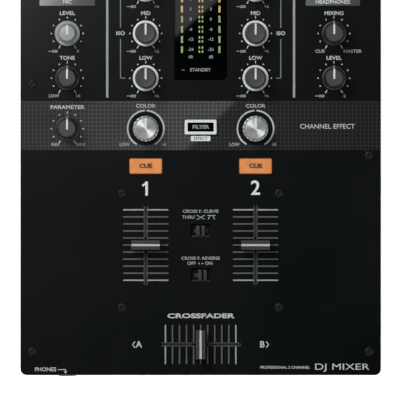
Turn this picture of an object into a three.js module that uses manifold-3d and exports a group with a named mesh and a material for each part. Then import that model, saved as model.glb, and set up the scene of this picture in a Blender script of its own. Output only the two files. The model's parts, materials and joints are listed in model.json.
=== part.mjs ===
// A two-channel DJ mixer: a folded steel case with a painted top panel, three 45 mm faders,
// rotary controls, lit buttons, slide and lever switches, and the jacks it is wired up through.
// Millimetres, +X to the right, +Y towards the rear jacks, +Z up. The origin is on the table,
// under the middle of the whole object, from the headphone nut to the ends of the phono jacks.

import * as THREE from "three";
import { mergeVertices } from "three/addons/utils/BufferGeometryUtils.js";
import Module from "manifold-3d";

const wasm = await Module();
wasm.setup();

// ---- driving dimensions ----------------------------------------------------------------

const CASE_WIDTH = 230;
const CASE_DEPTH = 310;
const CASE_CORNER = 4;
const NUT_PROUD = 1; // the headphone nut in front of the case
const JACK_PROUD = 9; // the phono jacks behind the case
const FOOT_HEIGHT = 7;
const PANEL_TOP = 91; // the height of the surface that the controls stand on
const PANEL_THICK = 2;
const SHEET = 1.2; // folded steel
const GAP = 0.3; // between neighbours that don't move
const RUNNING = 0.4; // round each side of a button or a switch knob

const FRONT = -(CASE_DEPTH + NUT_PROUD + JACK_PROUD) / 2 + NUT_PROUD;
const REAR = FRONT + CASE_DEPTH;
const PANEL_UNDER = PANEL_TOP - PANEL_THICK;
const CASE_FLOOR = FOOT_HEIGHT + SHEET;

// Columns and rows of the panel. A row is a distance back from the front edge.
const CHANNEL_X = 35;
const SIDE_X = 85;
const KNOB_PITCH = 28.5;
const LOW_ROW = 189.4;
const MID_ROW = LOW_ROW + KNOB_PITCH;
const HIGH_ROW = MID_ROW + KNOB_PITCH;
const TRIM_ROW = HIGH_ROW + KNOB_PITCH;
const SELECTOR_ROW = 296;
const MASTER_ROW = 286;
const BOOTH_ROW = MASTER_ROW - KNOB_PITCH;
const EFFECT_ROW = 157.2;
const CUE_ROW = 133.3;
const FADER_ROW = 83;
const CROSSFADER_ROW = 19.6;
const CURVE_ROW = 92.2;
const REVERSE_ROW = 64;

const KNOB_SIDES = 18;
const FADER_TRAVEL = 45;

// Heights inside the case.
const BOARD_TOP = 77.6;
const BOARD_THICK = 1.6;
const POT_TOP = PANEL_TOP - 8.3;
const FADER_BODY_TOP = PANEL_UNDER - SHEET - 2 * GAP;
const UPPER_JACKS = 62;
const LOWER_JACKS = 27;

const row = (back) => FRONT + back;

// ---- materials -------------------------------------------------------------------------

const finish = (color, roughness, metalness) =>
  new THREE.MeshStandardMaterial({ color, roughness, metalness });

const PAINTED_STEEL = finish(0x111416, 0.45, 0.1);
const CASE_PAINT = finish(0x141517, 0.55, 0.1);
const BLACK_PLASTIC = finish(0x18191b, 0.5, 0);
const KNOB_GREY = finish(0x3a3b3c, 0.5, 0);
const KNOB_SILVER = finish(0xb4b6b6, 0.35, 0.3);
const BRUSHED_METAL = finish(0xc8c9c9, 0.3, 1);
const ORANGE_LENS = finish(0xf0954a, 0.4, 0);
const SMOKED_WINDOW = finish(0x050607, 0.1, 0);
const ZINC_STEEL = finish(0x9a9da0, 0.4, 1);
const NICKEL = finish(0xbfc1c2, 0.25, 1);
const RUBBER = finish(0x151515, 0.85, 0);
const CIRCUIT_BOARD = finish(0x1d5a34, 0.5, 0);

// ---- solids ----------------------------------------------------------------------------

// A closed three.js geometry as a manifold solid, ready to be joined or cut.
function solid(geometry) {
  const bare = geometry.index ? geometry.toNonIndexed() : geometry.clone();
  bare.deleteAttribute("normal");
  bare.deleteAttribute("uv");
  const merged = mergeVertices(bare, 1e-4);
  return new wasm.Manifold(
    new wasm.Mesh({
      numProp: 3,
      vertProperties: merged.attributes.position.array,
      triVerts: new Uint32Array(merged.index.array),
    }),
  );
}

// A manifold solid as a three.js geometry.
function geometryOf(shape) {
  const mesh = shape.getMesh();
  const points = new Float32Array(mesh.numVert * 3);
  for (let i = 0; i < mesh.numVert; i++) {
    const start = i * mesh.numProp;
    points.set(mesh.vertProperties.subarray(start, start + 3), i * 3);
  }
  const geometry = new THREE.BufferGeometry();
  geometry.setAttribute("position", new THREE.BufferAttribute(points, 3));
  geometry.setIndex(new THREE.BufferAttribute(mesh.triVerts, 1));
  geometry.computeVertexNormals();
  return geometry;
}

const joined = (shapes) => shapes.reduce((whole, shape) => whole.add(shape));
const cutBy = (shape, tools) => shape.subtract(joined(tools));

// A block standing on height z, centred on x and y.
function block(width, depth, height, x, y, z) {
  return solid(new THREE.BoxGeometry(width, depth, height).translate(x, y, z + height / 2));
}

// A round post standing on height z.
function post(radius, height, x, y, z, sides = 16) {
  const cylinder = new THREE.CylinderGeometry(radius, radius, height, sides);
  return solid(cylinder.rotateX(Math.PI / 2).translate(x, y, z + height / 2));
}

// A round bar lying along Y, from near to far.
function bar(radius, near, far, x, z, sides = 16) {
  const cylinder = new THREE.CylinderGeometry(radius, radius, far - near, sides);
  return solid(cylinder.translate(x, (near + far) / 2, z));
}

function roundedRectangle(width, depth, corner) {
  const w = width / 2 - corner;
  const d = depth / 2 - corner;
  const outline = new THREE.Shape();
  outline.absarc(w, d, corner, 0, Math.PI / 2);
  outline.absarc(-w, d, corner, Math.PI / 2, Math.PI);
  outline.absarc(-w, -d, corner, Math.PI, 1.5 * Math.PI);
  outline.absarc(w, -d, corner, 1.5 * Math.PI, 2 * Math.PI);
  return outline;
}

// A level plate with round corners, standing on height z.
function plate(width, depth, thick, corner, x, y, z, curveSegments = 4) {
  const extrusion = new THREE.ExtrudeGeometry(roundedRectangle(width, depth, corner), {
    depth: thick,
    bevelEnabled: false,
    curveSegments,
  });
  return solid(extrusion.translate(x, y, z));
}

// A profile of [radius, height] points turned about the vertical axis.
function turned(profile, sides = KNOB_SIDES) {
  const points = profile.map(([radius, height]) => new THREE.Vector2(radius, height));
  return solid(new THREE.LatheGeometry(points, sides).rotateX(Math.PI / 2));
}

const mixer = new THREE.Group();

// Adds one named piece to the mixer. Its shape is in its own place unless position moves it.
function addPiece(name, shape, material, position = [0, 0, 0]) {
  const mesh = new THREE.Mesh(geometryOf(shape), material);
  mesh.name = name;
  mesh.position.set(...position);
  mixer.add(mesh);
  return mesh;
}

// ---- where the controls are ------------------------------------------------------------

// Each rotary control: name, column, row and kind.
const KNOBS = [
  ["mic_tone_knob", -SIDE_X, LOW_ROW, "plain"],
  ["mic_level_knob", -SIDE_X, MID_ROW, "level"],
  ["aux_level_knob", -SIDE_X, BOOTH_ROW, "plain"],
  ["parameter_knob", -SIDE_X, EFFECT_ROW, "plain"],
  ["phones_level_knob", SIDE_X, LOW_ROW, "plain"],
  ["phones_mixing_knob", SIDE_X, MID_ROW, "plain"],
  ["booth_level_knob", SIDE_X, BOOTH_ROW, "plain"],
  ["master_level_knob", SIDE_X, MASTER_ROW, "level"],
];
for (const [channel, x] of [[1, -CHANNEL_X], [2, CHANNEL_X]]) {
  KNOBS.push([`low_knob_${channel}`, x, LOW_ROW, "ringed"]);
  KNOBS.push([`mid_knob_${channel}`, x, MID_ROW, "ringed"]);
  KNOBS.push([`high_knob_${channel}`, x, HIGH_ROW, "ringed"]);
  KNOBS.push([`trim_knob_${channel}`, x, TRIM_ROW, "ringed"]);
  KNOBS.push([`filter_knob_${channel}`, x, EFFECT_ROW, "metal"]);
}

// The push buttons on the panel: name, column, row and material.
const BUTTONS = [
  ["cue_button_1", -CHANNEL_X, CUE_ROW, ORANGE_LENS],
  ["cue_button_2", CHANNEL_X, CUE_ROW, ORANGE_LENS],
  ["filter_button", 0, EFFECT_ROW + 1, BLACK_PLASTIC],
];
const BUTTON = { width: 20.5, depth: 9.5, proud: 2.2, rim: 1.4, rimThick: 1.8, travel: 1.2 };

// The slide switches: name, row and the place of the knob along X as the mixer is set.
const SLIDE_SWITCHES = [
  ["curve_switch_knob", CURVE_ROW, 0],
  ["reverse_switch_knob", REVERSE_ROW, 1.2],
];
const SWITCH = { width: 12.8, depth: 8.5, knobWidth: 5.4, knobDepth: 6.4, body: 87 };

const METER = { width: 33, depth: 73, near: 188.4, thick: 2.3, below: 0.2 };
const METER_ROW = METER.near + METER.depth / 2;

const FADER_SLOT = { width: 2.4, length: 52 };

// Screws through the panel, as [x, row]. The four at x 50 hold the fader bracket.
const BRACKET_SCREWS = [[-50, 43.3], [50, 43.3], [-50, 116], [50, 116]];
const CASE_SCREWS = [
  [-107.3, 15.2], [107.3, 15.2],
  [-107.3, 185.7], [107.3, 140.2],
  [-107.3, 296], [107.3, 296],
];
const SCREW_HOLE = 1.7;

// ---- the case --------------------------------------------------------------------------

function addTopPanel() {
  const y = row(CASE_DEPTH / 2);
  const sheet = plate(CASE_WIDTH, CASE_DEPTH, PANEL_THICK, CASE_CORNER, 0, y, PANEL_UNDER, 6);
  const through = PANEL_THICK + 2;
  const under = PANEL_UNDER - 1;
  const tools = [];
  for (const [, x, back] of KNOBS) tools.push(post(3.7, through, x, row(back), under, 8));
  for (const [, x, back] of BUTTONS) {
    const { width, depth } = BUTTON;
    tools.push(block(width + 2 * RUNNING, depth + 2 * RUNNING, through, x, row(back), under));
  }
  for (const [, back] of SLIDE_SWITCHES) {
    tools.push(block(SWITCH.width, SWITCH.depth, through, 0, row(back), under));
  }
  for (const side of [-1, 1]) {
    const x = side * CHANNEL_X;
    tools.push(block(FADER_SLOT.width, FADER_SLOT.length, through, x, row(FADER_ROW), under));
    tools.push(block(9, 4.8, through, x, row(SELECTOR_ROW), under));
  }
  tools.push(block(FADER_SLOT.length, FADER_SLOT.width, through, 0, row(CROSSFADER_ROW), under));
  tools.push(block(METER.width + 2 * GAP, METER.depth + 2 * GAP, through, 0, row(METER_ROW), under));
  for (const [x, back] of [...BRACKET_SCREWS, ...CASE_SCREWS]) {
    tools.push(post(SCREW_HOLE, through, x, row(back), under, 8));
  }
  addPiece("top_panel", cutBy(sheet, tools), PAINTED_STEEL);
}

const PHONES = { x: -85.4, z: 55, hole: 4.7 };
const MINI = { x: -66, z: 55, hole: 4.1 };

// The folded tray: floor, front and side walls with round corners, open at the rear.
function addChassisTray() {
  const y = row(CASE_DEPTH / 2);
  const tall = PANEL_UNDER - FOOT_HEIGHT;
  const outside = plate(CASE_WIDTH, CASE_DEPTH, tall, CASE_CORNER, 0, y, FOOT_HEIGHT, 6);
  const inside = plate(
    CASE_WIDTH - 2 * SHEET, CASE_DEPTH - 2 * SHEET, tall,
    CASE_CORNER - SHEET, 0, y, CASE_FLOOR, 6,
  );
  const rearOpening = block(2 * REAR_PANEL.half + 2 * GAP, 2 * SHEET, tall, 0, REAR, CASE_FLOOR);
  const tools = [
    inside,
    rearOpening,
    bar(PHONES.hole, FRONT - 1, FRONT + 3, PHONES.x, PHONES.z),
    bar(MINI.hole, FRONT - 1, FRONT + 3, MINI.x, MINI.z),
  ];
  const vents = 9;
  for (let i = 0; i < vents; i++) {
    tools.push(block(CASE_WIDTH + 2, 2.4, 20, 0, REAR - 40 - 8 * i, 52));
  }
  const tabs = CASE_SCREWS.map(([x, back]) => {
    const wall = Math.sign(x) * (CASE_WIDTH / 2 - SHEET / 2);
    const inner = x - Math.sign(x) * 5;
    const tab = block(Math.abs(wall - inner), 11, SHEET, (wall + inner) / 2, row(back), PANEL_UNDER - SHEET);
    return tab.subtract(post(SCREW_HOLE, 4, x, row(back), PANEL_UNDER - 3, 8));
  });
  addPiece("chassis_tray", joined([cutBy(outside, tools), ...tabs]), CASE_PAINT);
}

const REAR_PANEL = { half: 110.5 };

// The jacks and switches of the rear panel, each with its place.
const XLR_LEFT_X = 8;
const XLR_RIGHT_X = 38;
const COMBO_X = -90;
const USB_X = -60;
const GROUND_X = -38;
const POWER_X = 74;
const INLET_X = 78;
const PHONO_BLOCKS = [
  // name, middle, number of columns
  ["phono_jacks_channel_1", -84, 2],
  ["phono_jacks_channel_2", -50, 2],
  ["phono_jacks_aux", -22, 1],
  ["phono_jacks_outputs", 8, 2],
];
const PHONO = { pitch: 14, barrel: 4.15, hole: 4.6, bore: 1.7, boreDepth: 8 };
const XLR = { barrel: 11.5, hole: 11.9, bore: 8, flangeWidth: 26, flangeHeight: 31, flange: 2 };
const USB = { width: 12, height: 11, mouthWidth: 8.6, mouthHeight: 7.8 };
const INLET = { width: 27.4, height: 19.6, mouthWidth: 24.2, mouthHeight: 16.2, depth: 14 };
const POWER = { radius: 6.2, hole: 6.7, rim: 7.6, proud: 3.6 };

// The places of the phono jacks in one block, as [x, z].
function phonoPlaces(x, columns) {
  const places = [];
  for (let i = 0; i < columns; i++) {
    for (const side of [-1, 1]) {
      places.push([x + (i - (columns - 1) / 2) * PHONO.pitch, LOWER_JACKS + side * PHONO.pitch / 2]);
    }
  }
  return places;
}

function addRearPanel() {
  const tall = PANEL_UNDER - CASE_FLOOR;
  const y = REAR - SHEET / 2;
  const sheet = block(2 * REAR_PANEL.half, SHEET, tall, 0, y, CASE_FLOOR);
  const near = REAR - 3;
  const far = REAR + 1;
  const tools = [
    bar(XLR.hole, near, far, XLR_LEFT_X, UPPER_JACKS, 18),
    bar(XLR.hole, near, far, XLR_RIGHT_X, UPPER_JACKS, 18),
    bar(XLR.hole, near, far, COMBO_X, UPPER_JACKS, 18),
    bar(POWER.hole, near, far, POWER_X, UPPER_JACKS, 16),
    bar(2.3, near, far, GROUND_X, UPPER_JACKS, 12),
    block(USB.width + 2 * GAP, 4, USB.height + 2 * GAP, USB_X, REAR - 1, UPPER_JACKS - USB.height / 2 - GAP),
    block(INLET.width + 2 * GAP, 4, INLET.height + 2 * GAP, INLET_X, REAR - 1, LOWER_JACKS - INLET.height / 2 - GAP),
  ];
  for (const [, x, columns] of PHONO_BLOCKS) {
    for (const [jackX, jackZ] of phonoPlaces(x, columns)) {
      tools.push(bar(PHONO.hole, near, far, jackX, jackZ, 10));
    }
  }
  addPiece("rear_panel", cutBy(sheet, tools), CASE_PAINT);
}

function addFeet() {
  const foot = turned([
    [0, 2.5], [3.5, 2.5], [3.5, 0], [9.5, 0], [10.5, 1], [11.5, FOOT_HEIGHT], [0, FOOT_HEIGHT],
  ], 20);
  for (const [end, y] of [["front", FRONT + 26], ["rear", REAR - 26]]) {
    addPiece(`foot_${end}_left`, foot, RUBBER, [-92, y, 0]);
    addPiece(`foot_${end}_right`, foot, RUBBER, [92, y, 0]);
  }
}

function addMeterWindow() {
  const top = PANEL_TOP - METER.below;
  const window = plate(METER.width, METER.depth, METER.thick, 0.8, 0, row(METER_ROW), top - METER.thick, 2);
  addPiece("meter_window", window, SMOKED_WINDOW);
}

// ---- knobs, buttons and switches -------------------------------------------------------

// A knob with the potentiometer shaft it is pushed on, as heights above the panel.
const KNOB_PROFILES = {
  plain: [[8, 1], [8, 2.8], [6.6, 4.2], [5.9, 16.4], [5.2, 17.1]],
  level: [[8.1, 1], [8.1, 3.2], [5.6, 5.4], [5.2, 16.4], [4.6, 17.1]],
  ringed: [[8.2, 1], [8.2, 3.2], [6.6, 4.2], [5.9, 16.4], [5.2, 17.1]],
  metal: [[8.3, 1], [8.3, 15.2], [7.4, 17.1]],
};
const SHAFT = { radius: 3, bottom: -8 };

function addKnobs() {
  const shapes = {};
  for (const [kind, outline] of Object.entries(KNOB_PROFILES)) {
    const [, knobTop] = outline[outline.length - 1];
    const body = turned([
      [0, SHAFT.bottom], [SHAFT.radius, SHAFT.bottom], [SHAFT.radius, outline[0][1]],
      ...outline, [0, knobTop],
    ]);
    const pointer = block(1, 4.4, 0.5, 0, 2.4, knobTop - 0.2);
    shapes[kind] = body.add(pointer);
  }
  const materials = {
    plain: BLACK_PLASTIC, level: KNOB_SILVER, ringed: KNOB_GREY, metal: BRUSHED_METAL,
  };
  for (const [name, x, back, kind] of KNOBS) {
    addPiece(name, shapes[kind], materials[kind], [x, row(back), PANEL_TOP]);
  }
}

// A key cap with a rim under the panel that keeps it in.
function addButtons() {
  const { width, depth, proud, rim, rimThick, travel } = BUTTON;
  const rimTop = -PANEL_THICK - GAP;
  const cap = plate(width, depth, proud - rimTop, 0.8, 0, 0, rimTop, 3);
  const skirt = plate(width + 2 * rim, depth + 2 * rim, rimThick, 0.8, 0, 0, rimTop - rimThick, 2);
  const key = cap.add(skirt);
  for (const [name, x, back, material] of BUTTONS) {
    addPiece(name, key, material, [x, row(back), PANEL_TOP]);
  }
  return PANEL_TOP + rimTop - rimThick - travel - GAP;
}

function addSlideSwitchKnobs() {
  const bottom = SWITCH.body - PANEL_TOP + GAP;
  const thumb = block(SWITCH.knobWidth, SWITCH.knobDepth, 0.2 - bottom, 0, 0, bottom);
  const stem = block(2, 2.4, 3, 0, 0, bottom - 3);
  const grooves = [-1, 1].map((side) => block(0.8, SWITCH.knobDepth + 1, 1.4, side * 1.1, 0, -0.8));
  const knob = cutBy(thumb.add(stem), grooves);
  for (const [name, back, x] of SLIDE_SWITCHES) {
    addPiece(name, knob, BLACK_PLASTIC, [x, row(back), PANEL_TOP]);
  }
}

// The levers that pick each channel's input tip from left to right about a pivot in their switch.
const LEVER_PIVOT = 84;
const LEVER_TIP = 12; // degrees to each side of upright; they stand to the left as the mixer is set

function addSelectorLevers() {
  const lever = turned([
    [0, -2], [1.3, -2], [1.3, 11], [2, 12.5], [2.2, 17], [1.5, 18.4], [0, 18.8],
  ], 14);
  for (const [channel, side] of [[1, -1], [2, 1]]) {
    const place = [side * CHANNEL_X, row(SELECTOR_ROW), LEVER_PIVOT];
    addPiece(`input_lever_${channel}`, lever.rotate([0, -LEVER_TIP, 0]), NICKEL, place);
  }
}

// ---- faders ----------------------------------------------------------------------------

const CARRIAGE = { width: 7, length: 10, bottom: 79.9, height: 4 };
const BLADE = { thick: 1.2, length: 4.6, top: PANEL_TOP + 9 };
const CAP = { length: 19, bottom: 3.4, top: 13.6, base: 8.4, crown: 6.4, line: 1.5, lineProud: 0.3 };
const FADER_BODY = { width: 14, length: 72, bottom: BOARD_TOP + GAP };

// The parts of one fader, modelled as it runs along Y.
function faderShapes() {
  const { bottom, width, length } = FADER_BODY;
  const tall = FADER_BODY_TOP - bottom;
  const frame = cutBy(block(width, length, tall, 0, 0, bottom), [
    block(9.4, FADER_TRAVEL + 17, tall - 2.7, 0, 0, bottom + 1.5),
    block(3.4, FADER_SLOT.length + 2, tall, 0, 0, bottom + 2),
  ]);
  const lever = joined([
    block(CARRIAGE.width, CARRIAGE.length, CARRIAGE.height, 0, 0, CARRIAGE.bottom),
    block(BLADE.thick, BLADE.length, BLADE.top - CARRIAGE.bottom, 0, 0, CARRIAGE.bottom),
  ]);
  const profile = new THREE.Shape();
  profile.moveTo(-CAP.base / 2, CAP.bottom);
  profile.lineTo(CAP.base / 2, CAP.bottom);
  profile.lineTo(CAP.base / 2, CAP.bottom + 2);
  profile.lineTo(CAP.crown / 2, CAP.top);
  profile.lineTo(CAP.line / 2, CAP.top);
  profile.lineTo(CAP.line / 2, CAP.top + CAP.lineProud);
  profile.lineTo(-CAP.line / 2, CAP.top + CAP.lineProud);
  profile.lineTo(-CAP.line / 2, CAP.top);
  profile.lineTo(-CAP.crown / 2, CAP.top);
  profile.lineTo(-CAP.base / 2, CAP.bottom + 2);
  const alongX = new THREE.Matrix4().makeBasis(
    new THREE.Vector3(0, 1, 0), new THREE.Vector3(0, 0, 1), new THREE.Vector3(1, 0, 0),
  );
  const extrusion = new THREE.ExtrudeGeometry(profile, { depth: CAP.length, bevelEnabled: false });
  extrusion.applyMatrix4(alongX).translate(-CAP.length / 2, 0, PANEL_TOP);
  const socket = block(
    BLADE.thick + 2 * GAP, BLADE.length + 2 * GAP, BLADE.top + GAP - PANEL_TOP - 1, 0, 0, PANEL_TOP + 1,
  );
  return { frame, lever, cap: solid(extrusion).subtract(socket) };
}

function addFaders() {
  const shapes = faderShapes();
  const faders = [
    ["channel_fader", "_1", -CHANNEL_X, row(FADER_ROW), 0],
    ["channel_fader", "_2", CHANNEL_X, row(FADER_ROW), 0],
    ["crossfader", "", 0, row(CROSSFADER_ROW), 90],
  ];
  for (const [name, suffix, x, y, turn] of faders) {
    const place = (shape) => shape.rotate([0, 0, turn]);
    addPiece(`${name}_body${suffix}`, place(shapes.frame), ZINC_STEEL, [x, y, 0]);
    addPiece(`${name}_lever${suffix}`, place(shapes.lever), NICKEL, [x, y, 0]);
    addPiece(`${name}_cap${suffix}`, place(shapes.cap), KNOB_GREY, [x, y, 0]);
  }
}

// The steel plate under the panel that the channel faders hang from.
function addFaderBracket() {
  const middle = row((43.3 + 116) / 2);
  const bottom = PANEL_UNDER - SHEET - GAP;
  const sheet = block(112, 84, SHEET, 0, middle, bottom);
  const tools = [-1, 1].map((side) =>
    block(5, FADER_SLOT.length + 3, 4, side * CHANNEL_X, row(FADER_ROW), bottom - 1));
  for (const [, back] of SLIDE_SWITCHES) {
    tools.push(block(SWITCH.width + 4, SWITCH.depth + 4, 4, 0, row(back), bottom - 1));
  }
  for (const [x, back] of BRACKET_SCREWS) tools.push(post(SCREW_HOLE, 4, x, row(back), bottom - 1, 8));
  addPiece("fader_bracket", cutBy(sheet, tools), ZINC_STEEL);
}

// ---- circuit boards and power supply ---------------------------------------------------

// The board under the panel, with what is soldered to it: potentiometers, key switches,
// slide and lever switches, and the block of meter lamps.
function addControlBoard(keySwitchTop) {
  const bottom = BOARD_TOP - BOARD_THICK;
  const sink = 0.2; // how far the soldered pieces reach into the board, so that they are one piece
  const on = (width, depth, top, x, y) =>
    block(width, depth, top - BOARD_TOP + sink, x, y, BOARD_TOP - sink);
  const pieces = [block(212, 294, BOARD_THICK, 0, row(155), bottom)];
  for (const [, x, back] of KNOBS) pieces.push(on(10.4, 11, POT_TOP, x, row(back)));
  for (const [, x, back] of BUTTONS) pieces.push(on(6, 6, keySwitchTop, x, row(back)));
  pieces.push(on(30, 70, PANEL_TOP - METER.below - METER.thick - GAP, 0, row(METER_ROW)));
  const hollows = [];
  for (const [, back] of SLIDE_SWITCHES) {
    pieces.push(on(14, 7.6, SWITCH.body, 0, row(back)));
    hollows.push(block(9, 3.4, 6, 0, row(back), SWITCH.body - 4));
  }
  for (const side of [-1, 1]) {
    pieces.push(on(15, 9, PANEL_UNDER - 2, side * CHANNEL_X, row(SELECTOR_ROW)));
    hollows.push(block(9, 4, 10, side * CHANNEL_X, row(SELECTOR_ROW), LEVER_PIVOT - 3));
  }
  addPiece("control_board", cutBy(joined(pieces), hollows), CIRCUIT_BOARD);
}

function addMainBoard() {
  const bottom = CASE_FLOOR + 3.5;
  const top = bottom + BOARD_THICK;
  const pieces = [block(146, 112, BOARD_THICK, -32, REAR - 60, bottom)];
  const parts = [[24, 24, 3, -60, 80], [16, 16, 2, -20, 84], [12, 40, 8, 24, 80]];
  for (const [width, depth, tall, x, back] of parts) {
    pieces.push(block(width, depth, tall, x, REAR - back, top - 0.2));
  }
  for (const [x, back] of [[-100, 8], [36, 8], [-100, 110], [36, 110]]) {
    pieces.push(post(3, bottom + 0.2 - CASE_FLOOR, x, REAR - back, CASE_FLOOR, 10));
  }
  addPiece("main_board", joined(pieces), CIRCUIT_BOARD);
}

function addPowerSupply() {
  const x = 76;
  const y = REAR - 82;
  const cage = block(60, 92, 32, x, y, CASE_FLOOR);
  const tools = [];
  for (let i = 0; i < 6; i++) tools.push(block(44, 4, 3, x, y - 35 + 14 * i, CASE_FLOOR + 30));
  addPiece("power_supply", cutBy(cage, tools), ZINC_STEEL);
}

// ---- jacks -----------------------------------------------------------------------------

// The outer flange and barrel that the balanced jacks share, with the flange on the panel.
function balancedShell(x) {
  const { barrel, flangeWidth, flangeHeight, flange } = XLR;
  const tabs = plate(flangeWidth, flangeHeight, flange, 2, 0, 0, 0, 3)
    .rotate([-90, 0, 0])
    .translate([x, REAR + GAP, UPPER_JACKS]);
  return tabs.add(bar(barrel, REAR - 20, REAR + GAP + flange, x, UPPER_JACKS, 18));
}

// A balanced output: a round well with three contact pins.
function addBalancedOutput(name, x) {
  const mouth = REAR + GAP + XLR.flange;
  const floor = mouth - 14;
  const well = bar(XLR.bore, floor, mouth + 1, x, UPPER_JACKS, 18);
  const pins = [[-3.8, 2.2], [3.8, 2.2], [0, -4.4]].map(([dx, dz]) =>
    bar(1.2, floor - 0.5, mouth - 5.5, x + dx, UPPER_JACKS + dz, 8));
  addPiece(name, joined([balancedShell(x).subtract(well), ...pins]), BLACK_PLASTIC);
}

// The microphone jack takes a three-pin plug round its insert or a 6.35 mm plug in its middle.
function addMicrophoneJack() {
  const mouth = REAR + GAP + XLR.flange;
  const ring = bar(9.6, mouth - 12, mouth + 1, COMBO_X, UPPER_JACKS, 18)
    .subtract(bar(7.6, mouth - 13, mouth - 1, COMBO_X, UPPER_JACKS, 18));
  const tools = [ring, bar(3.4, mouth - 21, mouth + 1, COMBO_X, UPPER_JACKS, 14)];
  for (const [dx, dz] of [[-4.9, 2.9], [4.9, 2.9], [0, -5.7]]) {
    tools.push(bar(1.4, mouth - 10, mouth + 1, COMBO_X + dx, UPPER_JACKS + dz, 8));
  }
  addPiece("microphone_jack", cutBy(balancedShell(COMBO_X), tools), BLACK_PLASTIC);
}

function addPhonoJacks() {
  const face = REAR - SHEET - GAP;
  for (const [name, x, columns] of PHONO_BLOCKS) {
    const housing = block(PHONO.pitch * columns, 14, 26, x, face - 7, LOWER_JACKS - 13);
    const places = phonoPlaces(x, columns);
    const end = REAR + JACK_PROUD;
    const barrels = places.map(([jx, jz]) => bar(PHONO.barrel, face - 1, end, jx, jz, 12));
    const bores = places.map(([jx, jz]) => bar(PHONO.bore, end - PHONO.boreDepth, end + 1, jx, jz, 8));
    addPiece(name, cutBy(joined([housing, ...barrels]), bores), NICKEL);
  }
}

function addUsbPort() {
  const mouth = REAR + 1;
  const z = UPPER_JACKS;
  const shell = block(USB.width, 18, USB.height, USB_X, mouth - 9, z - USB.height / 2);
  const well = block(USB.mouthWidth, 10, USB.mouthHeight, USB_X, mouth - 4, z - USB.mouthHeight / 2);
  const tongue = block(5.6, 5, 3.2, USB_X, mouth - 7.2, z - 1.6);
  addPiece("usb_port", shell.subtract(well).add(tongue), NICKEL);
}

// A thumb screw that clamps the turntables' ground wires.
function addGroundScrew() {
  const screw = joined([
    bar(1.9, REAR - 8, REAR + 1.5, GROUND_X, UPPER_JACKS, 10),
    bar(4.6, REAR + 0.8, REAR + 7.5, GROUND_X, UPPER_JACKS, 20),
  ]);
  addPiece("ground_screw", screw, NICKEL);
}

function addMainsInlet() {
  const mouth = REAR + GAP + 2;
  const z = LOWER_JACKS;
  const flange = plate(50, 23, 2, 4, 0, 0, 0, 3).rotate([-90, 0, 0]).translate([INLET_X, REAR + GAP, z]);
  const body = block(INLET.width, 22, INLET.height, INLET_X, mouth - 11, z - INLET.height / 2);
  const well = block(
    INLET.mouthWidth, INLET.depth + 1, INLET.mouthHeight,
    INLET_X, mouth + 0.5 - INLET.depth / 2, z - INLET.mouthHeight / 2,
  );
  const pins = [[-7, -2.5], [7, -2.5], [0, 1.5]].map(([dx, dz]) =>
    block(2, 10, 4, INLET_X + dx, mouth - INLET.depth + 4.5, z + dz - 2));
  addPiece("mains_inlet", joined([joined([flange, body]).subtract(well), ...pins]), BLACK_PLASTIC);
}

function addPowerButton() {
  const rimFar = REAR - SHEET - GAP;
  const button = joined([
    bar(POWER.radius, rimFar - 1, REAR + POWER.proud, POWER_X, UPPER_JACKS),
    bar(POWER.rim, rimFar - 2, rimFar, POWER_X, UPPER_JACKS),
  ]);
  addPiece("power_button", button, BLACK_PLASTIC);
}

// The 6.35 mm headphone jack, its nut in front of the case, and the 3.5 mm jack beside it.
function addHeadphoneJacks() {
  const sleeveFront = FRONT - NUT_PROUD + 0.2;
  const { x, z } = PHONES;
  const housing = block(15, 26, 16, x, FRONT + SHEET + GAP + 13, z - 8);
  const sleeve = bar(4.3, sleeveFront, FRONT + SHEET + 2, x, z, 18);
  const bore = bar(3.35, sleeveFront - 1, FRONT + 24, x, z, 16);
  addPiece("headphone_jack", housing.add(sleeve).subtract(bore), BLACK_PLASTIC);
  const nut = bar(5.6, FRONT - NUT_PROUD, FRONT, x, z, 18)
    .subtract(bar(4.6, FRONT - NUT_PROUD - 1, FRONT + 1, x, z, 18));
  addPiece("headphone_jack_nut", nut, NICKEL);
  const miniHousing = block(9, 14, 10, MINI.x, FRONT + SHEET + GAP + 7, MINI.z - 5);
  const miniFace = bar(3.8, FRONT, FRONT + SHEET + 2, MINI.x, MINI.z, 16);
  const miniBore = bar(1.8, FRONT - 1, FRONT + 13, MINI.x, MINI.z, 12);
  addPiece("headphone_mini_jack", miniHousing.add(miniFace).subtract(miniBore), BLACK_PLASTIC);
}

addTopPanel();
addChassisTray();
addRearPanel();
addFeet();
addMeterWindow();
addKnobs();
const keySwitchTop = addButtons();
addSlideSwitchKnobs();
addSelectorLevers();
addFaders();
addFaderBracket();
addControlBoard(keySwitchTop);
addMainBoard();
addPowerSupply();
addBalancedOutput("balanced_output_left", XLR_LEFT_X);
addBalancedOutput("balanced_output_right", XLR_RIGHT_X);
addMicrophoneJack();
addPhonoJacks();
addUsbPort();
addGroundScrew();
addMainsInlet();
addPowerButton();
addHeadphoneJacks();

export default mixer;
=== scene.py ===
"""The looks of a two-channel DJ mixer: painted case, printed panel, knobs, faders, lamps and jacks.

Lengths in the modelling code are in millimetres until they meet Blender, which works in metres.
A place on the panel is given as millimetres right of the middle and back from the front edge.
"""

import json
import math
from functools import partial

import bpy
from bpy.props import FloatProperty, FloatVectorProperty, PointerProperty
from mathutils import Matrix, Vector


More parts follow.
